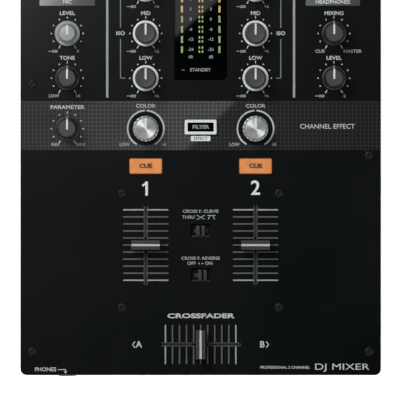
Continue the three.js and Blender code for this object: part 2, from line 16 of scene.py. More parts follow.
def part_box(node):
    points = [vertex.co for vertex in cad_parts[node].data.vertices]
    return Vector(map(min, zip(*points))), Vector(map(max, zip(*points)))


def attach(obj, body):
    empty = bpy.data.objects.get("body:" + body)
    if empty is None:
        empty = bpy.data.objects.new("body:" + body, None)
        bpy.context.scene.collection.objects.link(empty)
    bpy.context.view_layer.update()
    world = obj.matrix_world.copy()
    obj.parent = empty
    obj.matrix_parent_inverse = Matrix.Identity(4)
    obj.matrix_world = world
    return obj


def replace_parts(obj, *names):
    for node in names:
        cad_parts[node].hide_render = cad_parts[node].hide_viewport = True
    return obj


bl_info = {
    "name": "DJ Mixer",
    "version": (1, 0, 0),
    "blender": (4, 5, 0),
    "location": "3D View > Sidebar > DJ Mixer",
    "description": "Models the case, panel, knobs, faders and jacks of a two-channel DJ mixer",
    "category": "Add Mesh",
}

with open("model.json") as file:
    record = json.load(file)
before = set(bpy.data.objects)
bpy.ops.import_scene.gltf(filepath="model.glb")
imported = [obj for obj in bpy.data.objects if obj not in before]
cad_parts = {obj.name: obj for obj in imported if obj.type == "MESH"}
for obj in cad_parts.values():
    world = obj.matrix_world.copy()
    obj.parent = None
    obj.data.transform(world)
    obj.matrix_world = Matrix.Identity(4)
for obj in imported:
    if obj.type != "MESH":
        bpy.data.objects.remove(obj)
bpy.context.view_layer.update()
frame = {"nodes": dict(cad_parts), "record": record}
BODY_OF = {
    node: body for body, nodes in frame["record"]["behaviour"]["bodies"].items() for node in nodes
}

# ---- sizes and places that come from the frame ------------------------------------------

MM = 0.001


def corners(node):
    """The lowest and the highest corner of a CAD node, in millimetres."""
    return [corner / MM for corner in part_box(node)]


def middle(node):
    """The middle of a CAD node, in millimetres."""
    low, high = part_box(node)
    return (low + high) / 2 / MM


def top(node):
    return corners(node)[1].z


def rear(node):
    return corners(node)[1].y


CASE_LOW, CASE_HIGH = corners("chassis_tray")
FRONT_Y = CASE_LOW.y
REAR_Y = CASE_HIGH.y
PANEL_Z = top("top_panel")
PANEL_UNDER = CASE_HIGH.z
CASE_WIDTH = CASE_HIGH.x - CASE_LOW.x
CASE_DEPTH = REAR_Y - FRONT_Y
CORNER = 4.0
PRINT = 0.04  # how far printed ink stands up, far thicker than real ink so that it shows
HAIR = 0.3  # the usual gap between pieces that don't touch

CHANNEL_X = middle("channel_fader_cap_2").x
SIDE_X = middle("mic_tone_knob").x
KNOBS = {
    "plain": [
        "mic_tone_knob", "aux_level_knob", "parameter_knob",
        "phones_level_knob", "phones_mixing_knob", "booth_level_knob",
    ],
    "level": ["mic_level_knob", "master_level_knob"],
    "ringed": [f"{band}_knob_{c}" for band in ("low", "mid", "high", "trim") for c in (1, 2)],
    "metal": ["filter_knob_1", "filter_knob_2"],
}
PANEL_SCREWS = [
    (-107.3, 15.2), (107.3, 15.2), (-107.3, 185.7), (107.3, 140.2), (-107.3, 296), (107.3, 296),
    (-50, 43.3), (50, 43.3), (-50, 116), (50, 116),
]
BAND = (143.6, 174.7)  # the printed band of the effect controls, front and back edge
LEVER_BACK = 296.0  # the row of the input selector levers
KNOB_TOP = 17.2  # height of a knob over the panel
CAPITAL = 0.70  # the height of a capital as a share of Blender's text size
SCALE_RADIUS = 10.1  # from a knob's middle to the dots of its scale
BRACKET_X = 51.1  # the lines beside the equaliser knobs


def back_of(node):
    """How far back from the front edge the middle of a node is."""
    return middle(node).y - FRONT_Y


def on_panel(x, back, up=0.0):
    """A point over the panel's face."""
    return Vector((x, FRONT_Y + back, PANEL_Z + up))


# ---- small modelling tools --------------------------------------------------------------


def activate(*objects):
    bpy.ops.object.select_all(action="DESELECT")
    for obj in objects:
        obj.select_set(True)
    bpy.context.view_layer.objects.active = objects[0]


def drop(*objects):
    for obj in objects:
        bpy.data.objects.remove(obj)


def fresh(name):
    """The primitive that was just added, with its name."""
    obj = bpy.context.object
    obj.name = obj.data.name = name
    return obj


def settle(obj, at=None, turn=None):
    """Applies an object's modifiers and puts its place, in millimetres, and turn into its mesh."""
    if turn:
        obj.rotation_euler = turn
    if at is not None:
        obj.location = Vector(at) * MM
    activate(obj)
    for modifier in list(obj.modifiers):
        bpy.ops.object.modifier_apply(modifier=modifier.name)
    bpy.ops.object.transform_apply(location=True, rotation=True, scale=True)
    return obj


def moved(obj, offset=(0, 0, 0), turn=0.0, axis="Z"):
    """Turns a mesh about an axis through 0 and then moves it."""
    obj.data.transform(Matrix.Translation(Vector(offset) * MM) @ Matrix.Rotation(turn, 4, axis))
    return obj


def copied(obj, name, offset=(0, 0, 0), turn=0.0):
    """A copy with a mesh of its own, turned and moved."""
    twin = obj.copy()
    twin.data = obj.data.copy()
    twin.name = twin.data.name = name
    bpy.context.scene.collection.objects.link(twin)
    return moved(twin, offset, turn)


def box(name, size, at):
    """A block of a size round a middle."""
    bpy.ops.object.select_all(action="DESELECT")
    bpy.ops.mesh.primitive_cube_add(size=1, location=Vector(at) * MM, scale=Vector(size) * MM)
    return settle(fresh(name))


def modified(obj, kind, **settings):
    modifier = obj.modifiers.new(kind.lower(), kind)
    for key, value in settings.items():
        setattr(modifier, key, value)
    return settle(obj)


def soften(obj, width, segments=3, angle=30):
    """Rounds every edge that is sharper than an angle."""
    return modified(
        obj, "BEVEL", width=width * MM, segments=segments, limit_method="ANGLE",
        angle_limit=math.radians(angle), harden_normals=False,
    )


def boolean(obj, other, operation="DIFFERENCE"):
    """Cuts, joins or keeps the overlap of two solids, and takes the second one away."""
    modified(obj, "BOOLEAN", operation=operation, solver="EXACT", object=other)
    drop(other)
    return obj


def leave_edit():
    bpy.ops.object.mode_set(mode="OBJECT")


def pick(obj, kind, test):
    """Enters edit mode with the corners, edges or faces selected that pass a test."""
    activate(obj)
    bpy.ops.object.mode_set(mode="EDIT")
    bpy.ops.mesh.select_mode(type=kind)
    bpy.ops.mesh.select_all(action="DESELECT")
    leave_edit()
    mesh = obj.data
    if kind == "FACE":
        for face in mesh.polygons:
            face.select = bool(test(face.center / MM, face.normal))
    elif kind == "EDGE":
        for edge in mesh.edges:
            a, b = (mesh.vertices[i].co / MM for i in edge.vertices)
            edge.select = bool(test((a + b) / 2, (b - a).normalized()))
    else:
        for vertex in mesh.vertices:
            vertex.select = bool(test(vertex.co / MM, vertex.normal))
    bpy.ops.object.mode_set(mode="EDIT")


def bevel(obj, width, segments, test):
    """Rounds or chamfers the edges that pass a test."""
    pick(obj, "EDGE", test)
    bpy.ops.mesh.bevel(offset=width * MM, segments=segments, affect="EDGES")
    leave_edit()
    return obj


def round_uprights(obj, radius, segments=8):
    return bevel(obj, radius, segments, lambda at, along: abs(along.z) > 0.99)


def face_outwards():
    bpy.ops.mesh.select_all(action="SELECT")
    bpy.ops.mesh.normals_make_consistent(inside=False)
    leave_edit()


def turned(name, profile, at=(0, 0, 0), sides=64, turn=None):
    """A closed solid of revolution about Z, from (radius, height) pairs, from end to end."""
    (radius, height), *steps = profile
    bpy.ops.object.select_all(action="DESELECT")
    bpy.ops.mesh.primitive_circle_add(
        vertices=sides, radius=radius * MM, fill_type="NGON", location=(0, 0, height * MM)
    )
    obj = fresh(name)
    bpy.ops.object.transform_apply(location=True)
    bpy.ops.object.mode_set(mode="EDIT")
    bpy.ops.mesh.select_all(action="SELECT")
    for next_radius, next_height in steps:
        rise = (next_height - height) * MM
        bpy.ops.mesh.extrude_region_move(TRANSFORM_OT_translate={"value": (0, 0, rise)})
        ratio = next_radius / radius
        bpy.ops.transform.resize(value=(ratio, ratio, 1), center_override=(0, 0, next_height * MM))
        radius, height = next_radius, next_height
    face_outwards()
    return settle(obj, at, turn)


def ring(name, section, at=(0, 0, 0), sides=64, turn=None):
    """A closed ring about Z whose cross-section is a closed loop of (radius, height) pairs."""
    obj = turned(name, section, sides=sides)
    pick(obj, "FACE", lambda at, normal: at.xy.length < 0.01)
    bpy.ops.mesh.delete(type="FACE")
    bpy.ops.mesh.select_mode(type="EDGE")
    bpy.ops.mesh.select_all(action="DESELECT")
    bpy.ops.mesh.select_non_manifold()
    bpy.ops.mesh.bridge_edge_loops()
    face_outwards()
    return settle(obj, at, turn)


TO_REAR = (-math.pi / 2, 0, 0)  # turns +Z to +Y
TO_FRONT = (math.pi / 2, 0, 0)  # turns +Z to -Y


def quarter(centre_radius, centre_height, radius, start, end, steps=5):
    """Points of an arc of a profile, with angles in degrees from outward towards up."""
    angles = [math.radians(start + (end - start) * i / steps) for i in range(steps + 1)]
    return [
        (centre_radius + radius * math.cos(a), centre_height + radius * math.sin(a)) for a in angles
    ]


def flute(obj, sides, count, depth, low, high):
    """Presses shallow grooves into the wall of a turned solid, between two heights."""
    per_flute = sides // count

    def around(at):
        return round((math.degrees(math.atan2(at.y, at.x)) % 360) / 360 * sides) % per_flute

    for step in range(1, per_flute):
        scale = 1 - depth * (0.5 - 0.5 * math.cos(2 * math.pi * step / per_flute))
        pick(obj, "VERT", lambda at, normal: around(at) == step and low <= at.z <= high)
        bpy.ops.transform.resize(value=(scale, scale, 1), center_override=(0, 0, 0))
        leave_edit()


def merged(name, objects):
    """Several objects as one."""
    activate(*objects)
    if len(objects) > 1:
        bpy.ops.object.join()
    return fresh(name)


def piece(obj, material, slot, node=None, body="root", angle=38):
    """Finishes a piece: its shading, its material, and the body that it belongs to. The slot is not
    used.
    """
    obj.data.materials.clear()
    obj.data.materials.append(stock(material) if isinstance(material, str) else material)
    activate(obj)
    bpy.ops.object.shade_smooth_by_angle(angle=math.radians(angle))
    # Flat faces stay optically flat beside their rounded edges.
    modified(obj, "WEIGHTED_NORMAL", keep_sharp=True)
    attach(obj, BODY_OF[node] if node else body)
    return obj


def stand_in(obj, material, slot, node, angle=38):
    """Finishes a piece that stands for a CAD node."""
    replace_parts(piece(obj, material, slot, node, angle=angle), node)


# ---- materials --------------------------------------------------------------------------


def rgb(code):
    """A colour's sRGB hex value as linear red, green, blue and alpha."""
    parts = [int(code[i : i + 2], 16) / 255 for i in (0, 2, 4)]
    return (*[p / 12.92 if p <= 0.04045 else ((p + 0.055) / 1.055) ** 2.4 for p in parts], 1.0)


def add_node(tree, kind, inputs, out=0, stops=(), **settings):
    """Adds a node, its inputs as values or other nodes' outputs, and gives one of its outputs."""
    made = tree.nodes.new("ShaderNode" + kind)
    for key, value in settings.items():
        setattr(made, key, value)
    for key, value in inputs.items():
        if isinstance(value, bpy.types.NodeSocket):
            tree.links.new(value, made.inputs[key])
        else:
            made.inputs[key].default_value = value
    for i, (position, colour) in enumerate(stops):
        elements = made.color_ramp.elements
        element = elements[i] if i < len(elements) else elements.new(position)
        element.position, element.color = position, rgb(colour)
    return made.outputs[out] if made.outputs else made


def grain(tree, size, detail=4.0, stretch=(1, 1, 1)):
    """Noise whose lumps are about a size in millimetres across, stretched along an axis."""
    scale = tuple(1 / (size * MM * s) for s in stretch)
    place = add_node(tree, "TexCoord", {}, "Object")
    mapped = add_node(tree, "Mapping", {"Vector": place, "Scale": scale})
    return add_node(tree, "TexNoise", {"Vector": mapped, "Scale": 1.0, "Detail": detail})


def started(name):
    """A new material and its empty tree."""
    material = bpy.data.materials.new(name)
    material.use_nodes = True
    material.node_tree.nodes.clear()
    return material, material.node_tree


def surface(tree, height=None, depth=0.0, **sockets):
    """Closes a tree with its shader, with a relief whose depth is in millimetres."""
    inputs = {key.replace("_", " ").title().replace("Ior", "IOR"): v for key, v in sockets.items()}
    if height is not None:
        relief = {"Height": height, "Distance": depth * MM, "Strength": 1.0}
        inputs["Normal"] = add_node(tree, "Bump", relief)
    add_node(tree, "OutputMaterial", {"Surface": add_node(tree, "BsdfPrincipled", inputs)})


def mottled(name, dark, light, size, rough, depth, stretch=(1, 1, 1), **sockets):
    """The base of most finishes: a fine grain in colour, gloss and relief over a broad mottle."""
    material, tree = started(name)
    fine = grain(tree, size, stretch=stretch)
    mix = {0: grain(tree, 38, detail=3.0), 1: 0.55, 2: fine}
    both = add_node(tree, "Math", mix, operation="MULTIPLY_ADD")
    tone = add_node(tree, "MapRange", {"Value": both, "To Min": -0.2, "To Max": 0.9})
    colour = add_node(tree, "ValToRGB", {"Fac": tone}, stops=[(0.1, dark), (0.9, light)])
    worn = add_node(tree, "MapRange", {"Value": both, "To Min": rough[0], "To Max": rough[1]})
    surface(tree, fine, depth, base_color=colour, roughness=worn, **sockets)
    return material


# Grain size in mm, lowest and highest roughness, relief in mm, and the shader's other values.
INK = (0.4, (0.5, 0.62), 0.004, {})
PAD_PRINT = (0.3, (0.42, 0.55), 0.004, {})
ABS = (0.28, (0.36, 0.52), 0.012, {"specular_ior_level": 0.35})
NYLON = (0.5, (0.42, 0.6), 0.015, {"stretch": (1, 4, 1)})
INSULATOR = (0.6, (0.3, 0.42), 0.006, {})
FINISHES = {
    # Powder coat bakes to a close orange peel, so it glints in small grains at a low angle.
    "powder_coat": ("0a0b0c", "121315", 0.55, (0.42, 0.6), 0.03, {"specular_ior_level": 0.35}),
    # Silk-screened ink is matt, with a slight unevenness where the mesh let less of it through.
    "screen_ink": ("818385", "8c8e90", *INK),
    "grey_screen_ink": ("65676a", "707274", *INK),
    "dim_screen_ink": ("4e5153", "585b5d", *INK),
    "faint_screen_ink": ("2a2c2e", "333537", *INK),
    "bright_screen_ink": ("9c9ea0", "a7a9ab", *INK),
    "dark_ink": ("180c05", "20120a", *INK),
    "window_ink": ("5c5e60", "6a6c6e", *INK),
    # Pad-printed lines are slightly raised and matt.
    "pointer_ink": ("989a9b", "a3a5a6", *PAD_PRINT),
    "cap_line_ink": ("7a7c7d", "858788", *PAD_PRINT),
    # Spark-eroded moulds give ABS a fine even grain, a little shiny where it is rubbed.
    "moulded_abs": ("0c0d0e", "131416", *ABS),
    "worn_abs": ("1b1c1d", "232425", *ABS),
    "switch_abs": ("101112", "18191a", *ABS),
    "cap_abs": ("0f1111", "161818", *ABS),
    # Mass-coloured ABS is pale, even and a little soft in its shine.
    "light_grey_abs": ("646668", "6f7173", 0.3, (0.42, 0.54), 0.012, {}),
    # A rubbery lacquer over grey ABS has a soft sheen and no sharp highlight.
    "soft_touch_grey": ("1f2021", "272829", 0.3, (0.5, 0.62), 0.01, {"specular_ior_level": 0.3}),
    # Aluminium flake in clear lacquer over plastic is bright, with soft metallic highlights.
    "silver_lacquer": (
        "9a9c9d", "b2b4b5", 0.2, (0.3, 0.42), 0.004,
        {"metallic": 0.35, "coat_weight": 0.15, "coat_roughness": 0.2},
    ),
    # The wall of a machined knob is bare bright metal that takes on whatever stands beside it.
    "turned_aluminium": ("a2a4a5", "b8babb", 0.25, (0.34, 0.44), 0.004, {"metallic": 0.45}),
    # Bright nickel is a warm mirror, dulled a little by handling.
    "nickel_plate": ("b4b3af", "d0cfca", 2.2, (0.14, 0.3), 0.002, {"metallic": 1.0}),
    # Gold flash on contact pins is a warm yellow gleam deep in the jacks.
    "gold_plate": ("c9a04a", "dcb866", 1.5, (0.16, 0.28), 0.002, {"metallic": 1.0}),
    # Black oxide over steel is dark and a little oily, brighter where a driver has rubbed it.
    "black_screw_steel": (
        "020303", "060707", 0.35, (0.4, 0.55), 0.01, {"specular_ior_level": 0.14}
    ),
    # Glass-filled nylon shows faint flow streaks in a dull black.
    "moulded_nylon": ("0f0f11", "1c1c1f", *NYLON),
    # A near-black nylon that barely shines, darker than the switch's own black: painted shade in
    # the slide switches' recesses and grooves.
    "black_nylon_painted_shade": ("020203", "050506", *NYLON[:3], {**NYLON[3], "specular_ior_level": 0.06}),
    # Pressed nylon fibre: the dust strips of the faders, a shade paler than what is under them.
    "dust_felt": ("1f2020", "2a2b2b", *NYLON),
    # Smooth moulded rings tell the phono jacks apart.
    "white_insulator": ("c4c4be", "d2d2cc", *INSULATOR),
    "red_insulator": ("8e1418", "a01a1e", *INSULATOR),
    # Moulded rubber is dull and slightly grey, with dust held in its grain.
    "foot_rubber": ("141414", "242424", 0.8, (0.75, 0.92), 0.04, {}),
    # Smoked acrylic is a near-black mirror: all that shows on it is what it reflects.
    "smoked_acrylic": ("010102", "020303", 30.0, (0.008, 0.016), 0.00006, {}),
    # Unlit opal acrylic is white all through, softly shining.
    "frosted_acrylic": ("9c9e9f", "a8aaab", 3.0, (0.32, 0.42), 0.004, {}),
}


def satin_panel_paint():
    """Sprayed satin enamel with the effect band silk-screened on it: a grid of dark squares, under
    a painted reflection.
    """
    # Sprayed enamel is nearly flat, so it takes a soft, even sheen with a trace of orange peel.
    material, tree = started("satin_panel_paint")
    node = partial(add_node, tree)
    broad = grain(tree, 60, detail=2.0)
    enamel = node("ValToRGB", {"Fac": broad}, stops=[(0.3, "020405"), (0.7, "040607")])
    parts = node("SeparateXYZ", {"Vector": node("TexCoord", {}, "Object")}).node.outputs

    # 0 on the grid's lines and 1 in its squares.
    across = []
    for axis in "XY":
        cell = node("Math", {0: parts[axis], 1: 2.55 * MM}, operation="DIVIDE")
        fold = node("Math", {0: cell, 1: 0.5}, operation="PINGPONG")
        across.append(node("MapRange", {"Value": fold, "From Min": 0.09, "From Max": 0.17}))
    squares = node("Math", dict(enumerate(across)), operation="MULTIPLY")

    # A painted reflection lies over the band's print: the band is paler to the left of a slanting
    # edge and darkens to both sides.
    along = node("MapRange", {"Value": parts["X"], "From Min": -0.115, "From Max": 0.115})
    aslant = node("Math", {0: parts["X"], 1: parts["Y"]}, operation="SUBTRACT")
    painted_reflection_edge = node("MapRange", {"Value": aslant, "From Min": 0.0035, "From Max": 0.0085})
    sides = []
    # Each row gives the grid's lines and squares: the first on the painted lit side of the
    # reflection, the second on its painted shaded side.
    for start, end, lines, cells in (
        (0.0, 0.55, ("282929", "404141"), ("191a1a", "2a2b2c")),
        (0.5, 1.0, ("242526", "1c1d1e"), ("121313", "0d0e0e")),
    ):
        tones = [
            node("ValToRGB", {"Fac": along}, stops=[(start, first), (end, last)])
            for first, last in (lines, cells)
        ]
        mix = {"Factor": squares, 6: tones[0], 7: tones[1]}
        sides.append(node("Mix", mix, 2, data_type="RGBA"))
    band = node("Mix", {"Factor": painted_reflection_edge, 6: sides[0], 7: sides[1]}, 2, data_type="RGBA")

    # The band is on the face only, between two lines, and stops at the ring round each filter knob.
    knob = middle("filter_knob_2") * MM
    inside = [
        node("Math", {0: parts[axis], 1: limit}, operation=test)
        for axis, limit, test in (
            ("Y", (FRONT_Y + BAND[0]) * MM, "GREATER_THAN"),
            ("Y", (FRONT_Y + BAND[1]) * MM, "LESS_THAN"),
            ("Z", (PANEL_Z - 0.05) * MM, "GREATER_THAN"),
        )
    ]
    outward = node("Math", {0: parts["X"]}, operation="ABSOLUTE")
    across_knob = node("Math", {0: outward, 1: knob.x}, operation="SUBTRACT")
    behind_knob = node("Math", {0: parts["Y"], 1: knob.y}, operation="SUBTRACT")
    away = node("CombineXYZ", {"X": across_knob, "Y": behind_knob})
    away = node("VectorMath", {0: away}, "Value", operation="LENGTH")
    inside.append(node("MapRange", {"Value": away, "From Min": 0.0104, "From Max": 0.0112}))
    inked = inside[0]
    for share in inside[1:]:
        inked = node("Math", {0: inked, 1: share}, operation="MULTIPLY")
    colour = node("Mix", {"Factor": inked, 6: enamel, 7: band}, 2, data_type="RGBA")
    worn = node("MapRange", {"Value": broad, "To Min": 0.2, "To Max": 0.26})
    peel = grain(tree, 1.6, detail=2.0)
    surface(tree, peel, 0.0015, base_color=colour, roughness=worn, specular_ior_level=0.165)
    return material


def heading_ink(name, low, high, tones):
    """Grey ink that fades to the right, screened as a grid, for the side columns' headings."""
    material, tree = started(name)
    place = add_node(tree, "TexCoord", {}, "Object")
    x = add_node(tree, "SeparateXYZ", {"Vector": place})
    along = add_node(tree, "MapRange", {"Value": x, "From Min": low * MM, "From Max": high * MM})
    fade = add_node(tree, "ValToRGB", {"Fac": along}, stops=list(zip((0.0, 0.45, 1.0), tones)))
    cell = add_node(tree, "TexChecker", {"Vector": place, "Scale": 1 / (1.27 * MM)}, "Fac")
    dots = add_node(tree, "ValToRGB", {"Fac": cell}, stops=[(0.0, "8c8c8c"), (1.0, "ffffff")])
    mix = {"Factor": 0.35, 6: fade, 7: dots}
    colour = add_node(tree, "Mix", mix, 2, data_type="RGBA", blend_type="MULTIPLY")
    surface(tree, base_color=colour, roughness=0.5)
    return material


def spun_aluminium():
    """Turned aluminium: the tool leaves fine rings, so that light is drawn out into two fans."""
    material, tree = started("spun_aluminium")
    fine = grain(tree, 0.3, detail=3.0)
    shade = add_node(tree, "ValToRGB", {"Fac": fine}, stops=[(0.2, "818384"), (0.8, "999b9c")])
    tint = (*bpy.context.scene.mixer_colours.metal_tint, 1.0)
    mix = {"Factor": 1.0, 6: shade, 7: tint}
    surface(
        tree, fine, 0.003, metallic=0.55, anisotropic=0.93, anisotropic_rotation=0.25,
        base_color=add_node(tree, "Mix", mix, 2, data_type="RGBA", blend_type="MULTIPLY"),
        roughness=add_node(tree, "MapRange", {"Value": fine, "To Min": 0.3, "To Max": 0.4}),
        tangent=add_node(tree, "Tangent", {}, direction_type="RADIAL", axis="Z"),
    )
    return material


def zinc_sheet():
    """Zinc crystallises in flat spangles, each with its own tone."""
    material, tree = started("zinc_sheet")
    place = add_node(tree, "TexCoord", {}, "Object")
    cells = add_node(tree, "TexVoronoi", {"Vector": place, "Scale": 1 / (6 * MM)}, "Color")
    tone = add_node(tree, "RGBToBW", {"Color": cells})
    stops = [(0.1, "888d91"), (0.9, "b4b8bb")]
    surface(
        tree, grain(tree, 0.5), 0.004, metallic=1.0,
        base_color=add_node(tree, "ValToRGB", {"Fac": tone}, stops=stops),
        roughness=add_node(tree, "MapRange", {"Value": tone, "To Min": 0.3, "To Max": 0.5}),
    )
    return material


def lit_lens():
    """Translucent orange polycarbonate over a lamp, with a soft haze and a clean gloss."""
    material, tree = started("lit_lens")
    haze = grain(tree, 5.0, detail=2.0)
    shade = add_node(tree, "ValToRGB", {"Fac": haze}, stops=[(0.3, "aca8a4"), (0.7, "bcbab8")])
    mix = {"Factor": 1.0, 6: shade, 7: (*bpy.context.scene.mixer_colours.cue_colour, 1.0)}
    tint = add_node(tree, "Mix", mix, 2, data_type="RGBA", blend_type="MULTIPLY")
    surface(
        tree, grain(tree, 0.25), 0.006,
        base_color=tint, emission_color=tint, emission_strength=0.22,
        roughness=add_node(tree, "MapRange", {"Value": haze, "To Min": 0.32, "To Max": 0.42}),
        subsurface_weight=0.2, subsurface_scale=1.5 * MM,
    )
    return material


def lamp(name, dark, light, strength):
    """The diffusing bar of a lamp, brighter in its grain."""
    material, tree = started(name)
    stops = [(0.25, dark), (0.75, light)]
    glow = add_node(tree, "ValToRGB", {"Fac": grain(tree, 0.9, detail=2.0)}, stops=stops)
    surface(tree, base_color=glow, emission_color=glow, emission_strength=strength, roughness=0.4)
    return material


def glass_epoxy():
    """Circuit board: green resist with paler copper tracks under it and a woven glass grain."""
    material, tree = started("glass_epoxy")
    bricks = {
        "Vector": add_node(tree, "TexCoord", {}, "Object"), "Scale": 1.0,
        "Mortar Size": 0.35 * MM, "Brick Width": 9 * MM, "Row Height": 2.5 * MM,
    }
    tracks = add_node(tree, "TexBrick", bricks, "Fac", offset=0.35)
    weave = grain(tree, 0.4)
    base = add_node(tree, "ValToRGB", {"Fac": weave}, stops=[(0.3, "0f3b22"), (0.7, "14502e")])
    mix = {"Factor": tracks, 6: base, 7: rgb("2b7a45")}
    surface(
        tree, tracks, 0.03, coat_weight=0.4,
        base_color=add_node(tree, "Mix", mix, 2, data_type="RGBA"),
        roughness=add_node(tree, "MapRange", {"Value": weave, "To Min": 0.28, "To Max": 0.45}),
    )
    return material


def studio_paper():
    """A plain pale floor, softly lit from below like a light table."""
    material, tree = started("studio_paper")
    stops = [(0.2, "f1f1f1"), (0.8, "f8f8f8")]
    surface(
        tree, base_color=add_node(tree, "ValToRGB", {"Fac": grain(tree, 1.2)}, stops=stops),
        roughness=0.9, emission_color=(1, 1, 1, 1), emission_strength=0.65,
    )
    return material


SPECIAL = {
    make.__name__: make
    for make in (satin_panel_paint, spun_aluminium, zinc_sheet, lit_lens, glass_epoxy)
}
made_materials = {}


def stock(name):
    """The material of a name, made once."""
    if name in SPECIAL and name not in made_materials:
        made_materials[name] = SPECIAL[name]()
    elif name not in made_materials:
        *values, others = FINISHES[name]
        made_materials[name] = mottled(name, *values, **others)
    return made_materials[name]


# ---- settings ---------------------------------------------------------------------------


class MixerSizes(bpy.types.PropertyGroup):
    """Sizes that change the look of the controls."""

    pointer_width: FloatProperty(
        name="Pointer width", description="Width of the white line on a knob",
        default=1.15 * MM, min=0.4 * MM, max=3 * MM, unit="LENGTH",
    )
    flute_depth: FloatProperty(
        name="Flute depth", description="Depth of a knob's grip grooves, as a share of its radius",
        default=0.045, min=0.0, max=0.15, subtype="FACTOR",
    )
    label_height: FloatProperty(
        name="Label height", description="Height of the capitals printed above the knobs",
        default=2.35 * MM, min=1 * MM, max=5 * MM, unit="LENGTH",
    )
    panel_edge: FloatProperty(
        name="Panel edge", description="Radius of the fold along the edge of the top panel",
        default=0.6 * MM, min=0.2 * MM, max=1.9 * MM, unit="LENGTH",
    )


class MixerColours(bpy.types.PropertyGroup):
    """Colours that a maker would choose."""

    cue_colour: FloatVectorProperty(
        name="Cue lens", description="Colour of the lit cue buttons", subtype="COLOR",
        size=3, min=0, max=1, default=rgb("e8924a")[:3],
    )
    metal_tint: FloatVectorProperty(
        name="Metal tint", description="Tint of the spun filter knobs", subtype="COLOR",
        size=3, min=0, max=1, default=(1.0, 1.0, 1.0),
    )


# ---- case and panel ---------------------------------------------------------------------


class MIXER_OT_top_panel(bpy.types.Operator):
    """Makes the painted top panel with its openings"""

    bl_idname = "mixer.top_panel"
    bl_label = "Top panel"

    def execute(self, context):
        edge = context.scene.mixer_sizes.panel_edge / MM
        thick = PANEL_Z - PANEL_UNDER
        centre = (0, FRONT_Y + CASE_DEPTH / 2, PANEL_Z - thick / 2)
        panel = box("top_panel_sheet", (CASE_WIDTH, CASE_DEPTH, thick), centre)
        round_uprights(panel, CORNER, 10)
        bevel(panel, edge, 4, lambda at, along: at.z > PANEL_Z - 0.01)
        boolean(panel, self.openings(thick + 4))
        stand_in(panel, "satin_panel_paint", "panel_paint", "top_panel")
        self.linings()
        return {"FINISHED"}

    def linings(self):
        """Dust strips in the fader slots, with a slit for the lever between them."""
        for name in ("channel_fader_cap_1", "channel_fader_cap_2", "crossfader_cap"):
            at = middle(name)
            strips = [
                box("strip", (0.55, 50, 0.5), (side * 0.975, 0, PANEL_Z - 0.45)) for side in (-1, 1)
            ]
            strips = soften(merged(name.replace("cap", "dust_strips"), strips), 0.1, 2)
            turn = math.pi / 2 if name == "crossfader_cap" else 0.0
            piece(moved(strips, (at.x, at.y, 0), turn), "dust_felt", "black_jack")

    def openings(self, tall):
        """All that is cut out of the panel, as one object."""
        tools = []

        def slot_cutter(width, depth, x, back, corner):
            cutter = box("cutter", (width, depth, tall), on_panel(x, back))
            tools.append(round_uprights(cutter, corner, 6))

        for name in ("channel_fader_cap_1", "channel_fader_cap_2"):
            slot_cutter(2.6, 52, middle(name).x, back_of(name), 1.29)
        slot_cutter(52, 2.6, 0, back_of("crossfader_cap"), 1.29)
        for name in ("curve_switch_knob", "reverse_switch_knob"):
            slot_cutter(12.8, 8.5, 0, back_of(name), 0.6)
        for name in ("cue_button_1", "cue_button_2", "filter_button"):
            slot_cutter(21.3, 10.3, middle(name).x, back_of(name), 1.1)
        low, high = corners("meter_window")
        size = high - low
        slot_cutter(size.x + 2 * HAIR, size.y + 2 * HAIR, 0, back_of("meter_window"), 1.0)
        for side in (-1, 1):
            slot_cutter(9, 4.8, side * CHANNEL_X, LEVER_BACK, 2.39)
        holes = [
            (3.7, (middle(name).x, middle(name).y, PANEL_Z), 24)
            for names in KNOBS.values() for name in names
        ]
        holes += [(1.7, on_panel(x, back), 16) for x, back in PANEL_SCREWS]
        for radius, place, sides in holes:
            tools.append(turned("cutter", [(radius, -tall / 2), (radius, tall / 2)], place, sides))
        return merged("cutter", tools)


class MIXER_OT_case(bpy.types.Operator):
    """Makes the folded case with its cooling slots"""

    bl_idname = "mixer.case"
    bl_label = "Case"

    def execute(self, context):
        floor = CASE_LOW.z
        tall = PANEL_UNDER - floor
        centre_y = FRONT_Y + CASE_DEPTH / 2
        sheet = 1.2
        tray = box("case_shell", (CASE_WIDTH, CASE_DEPTH, tall), (0, centre_y, floor + tall / 2))
        round_uprights(tray, CORNER, 10)
        bevel(tray, 1.1, 3, lambda at, along: at.z < floor + 0.01)
        pick(tray, "FACE", lambda at, normal: normal.z > 0.9)
        bpy.ops.mesh.delete(type="FACE")
        leave_edit()
        modified(tray, "SOLIDIFY", thickness=sheet * MM, offset=-1)
        cutters = [box("cutter", (221.6, 6, tall), (0, REAR_Y, floor + sheet + tall / 2))]
        slot = box("cutter", (CASE_WIDTH + 4, 2.4, 20), (0, REAR_Y - 40, 62))
        bevel(slot, 1.19, 5, lambda at, along: abs(along.x) > 0.9)
        cutters += [slot, *(copied(slot, "cutter", (0, -8 * i, 0)) for i in range(1, 9))]
        for column in (-1, 1):
            for row in range(6):
                at = (column * 34, FRONT_Y + 84 + 26 * row, floor)
                cutters.append(round_uprights(box("cutter", (44, 3, 6), at), 1.49, 5))
        for name, hole in (("headphone_jack", 4.7), ("headphone_mini_jack", 4.1)):
            place = (middle(name).x, FRONT_Y, 55)
            cutters.append(turned("cutter", [(hole, -4), (hole, 4)], place, 32, TO_FRONT))
        boolean(tray, merged("cutter", cutters))
        stand_in(tray, "powder_coat", "case_paint", "chassis_tray")
        return {"FINISHED"}


# ---- print ------------------------------------------------------------------------------


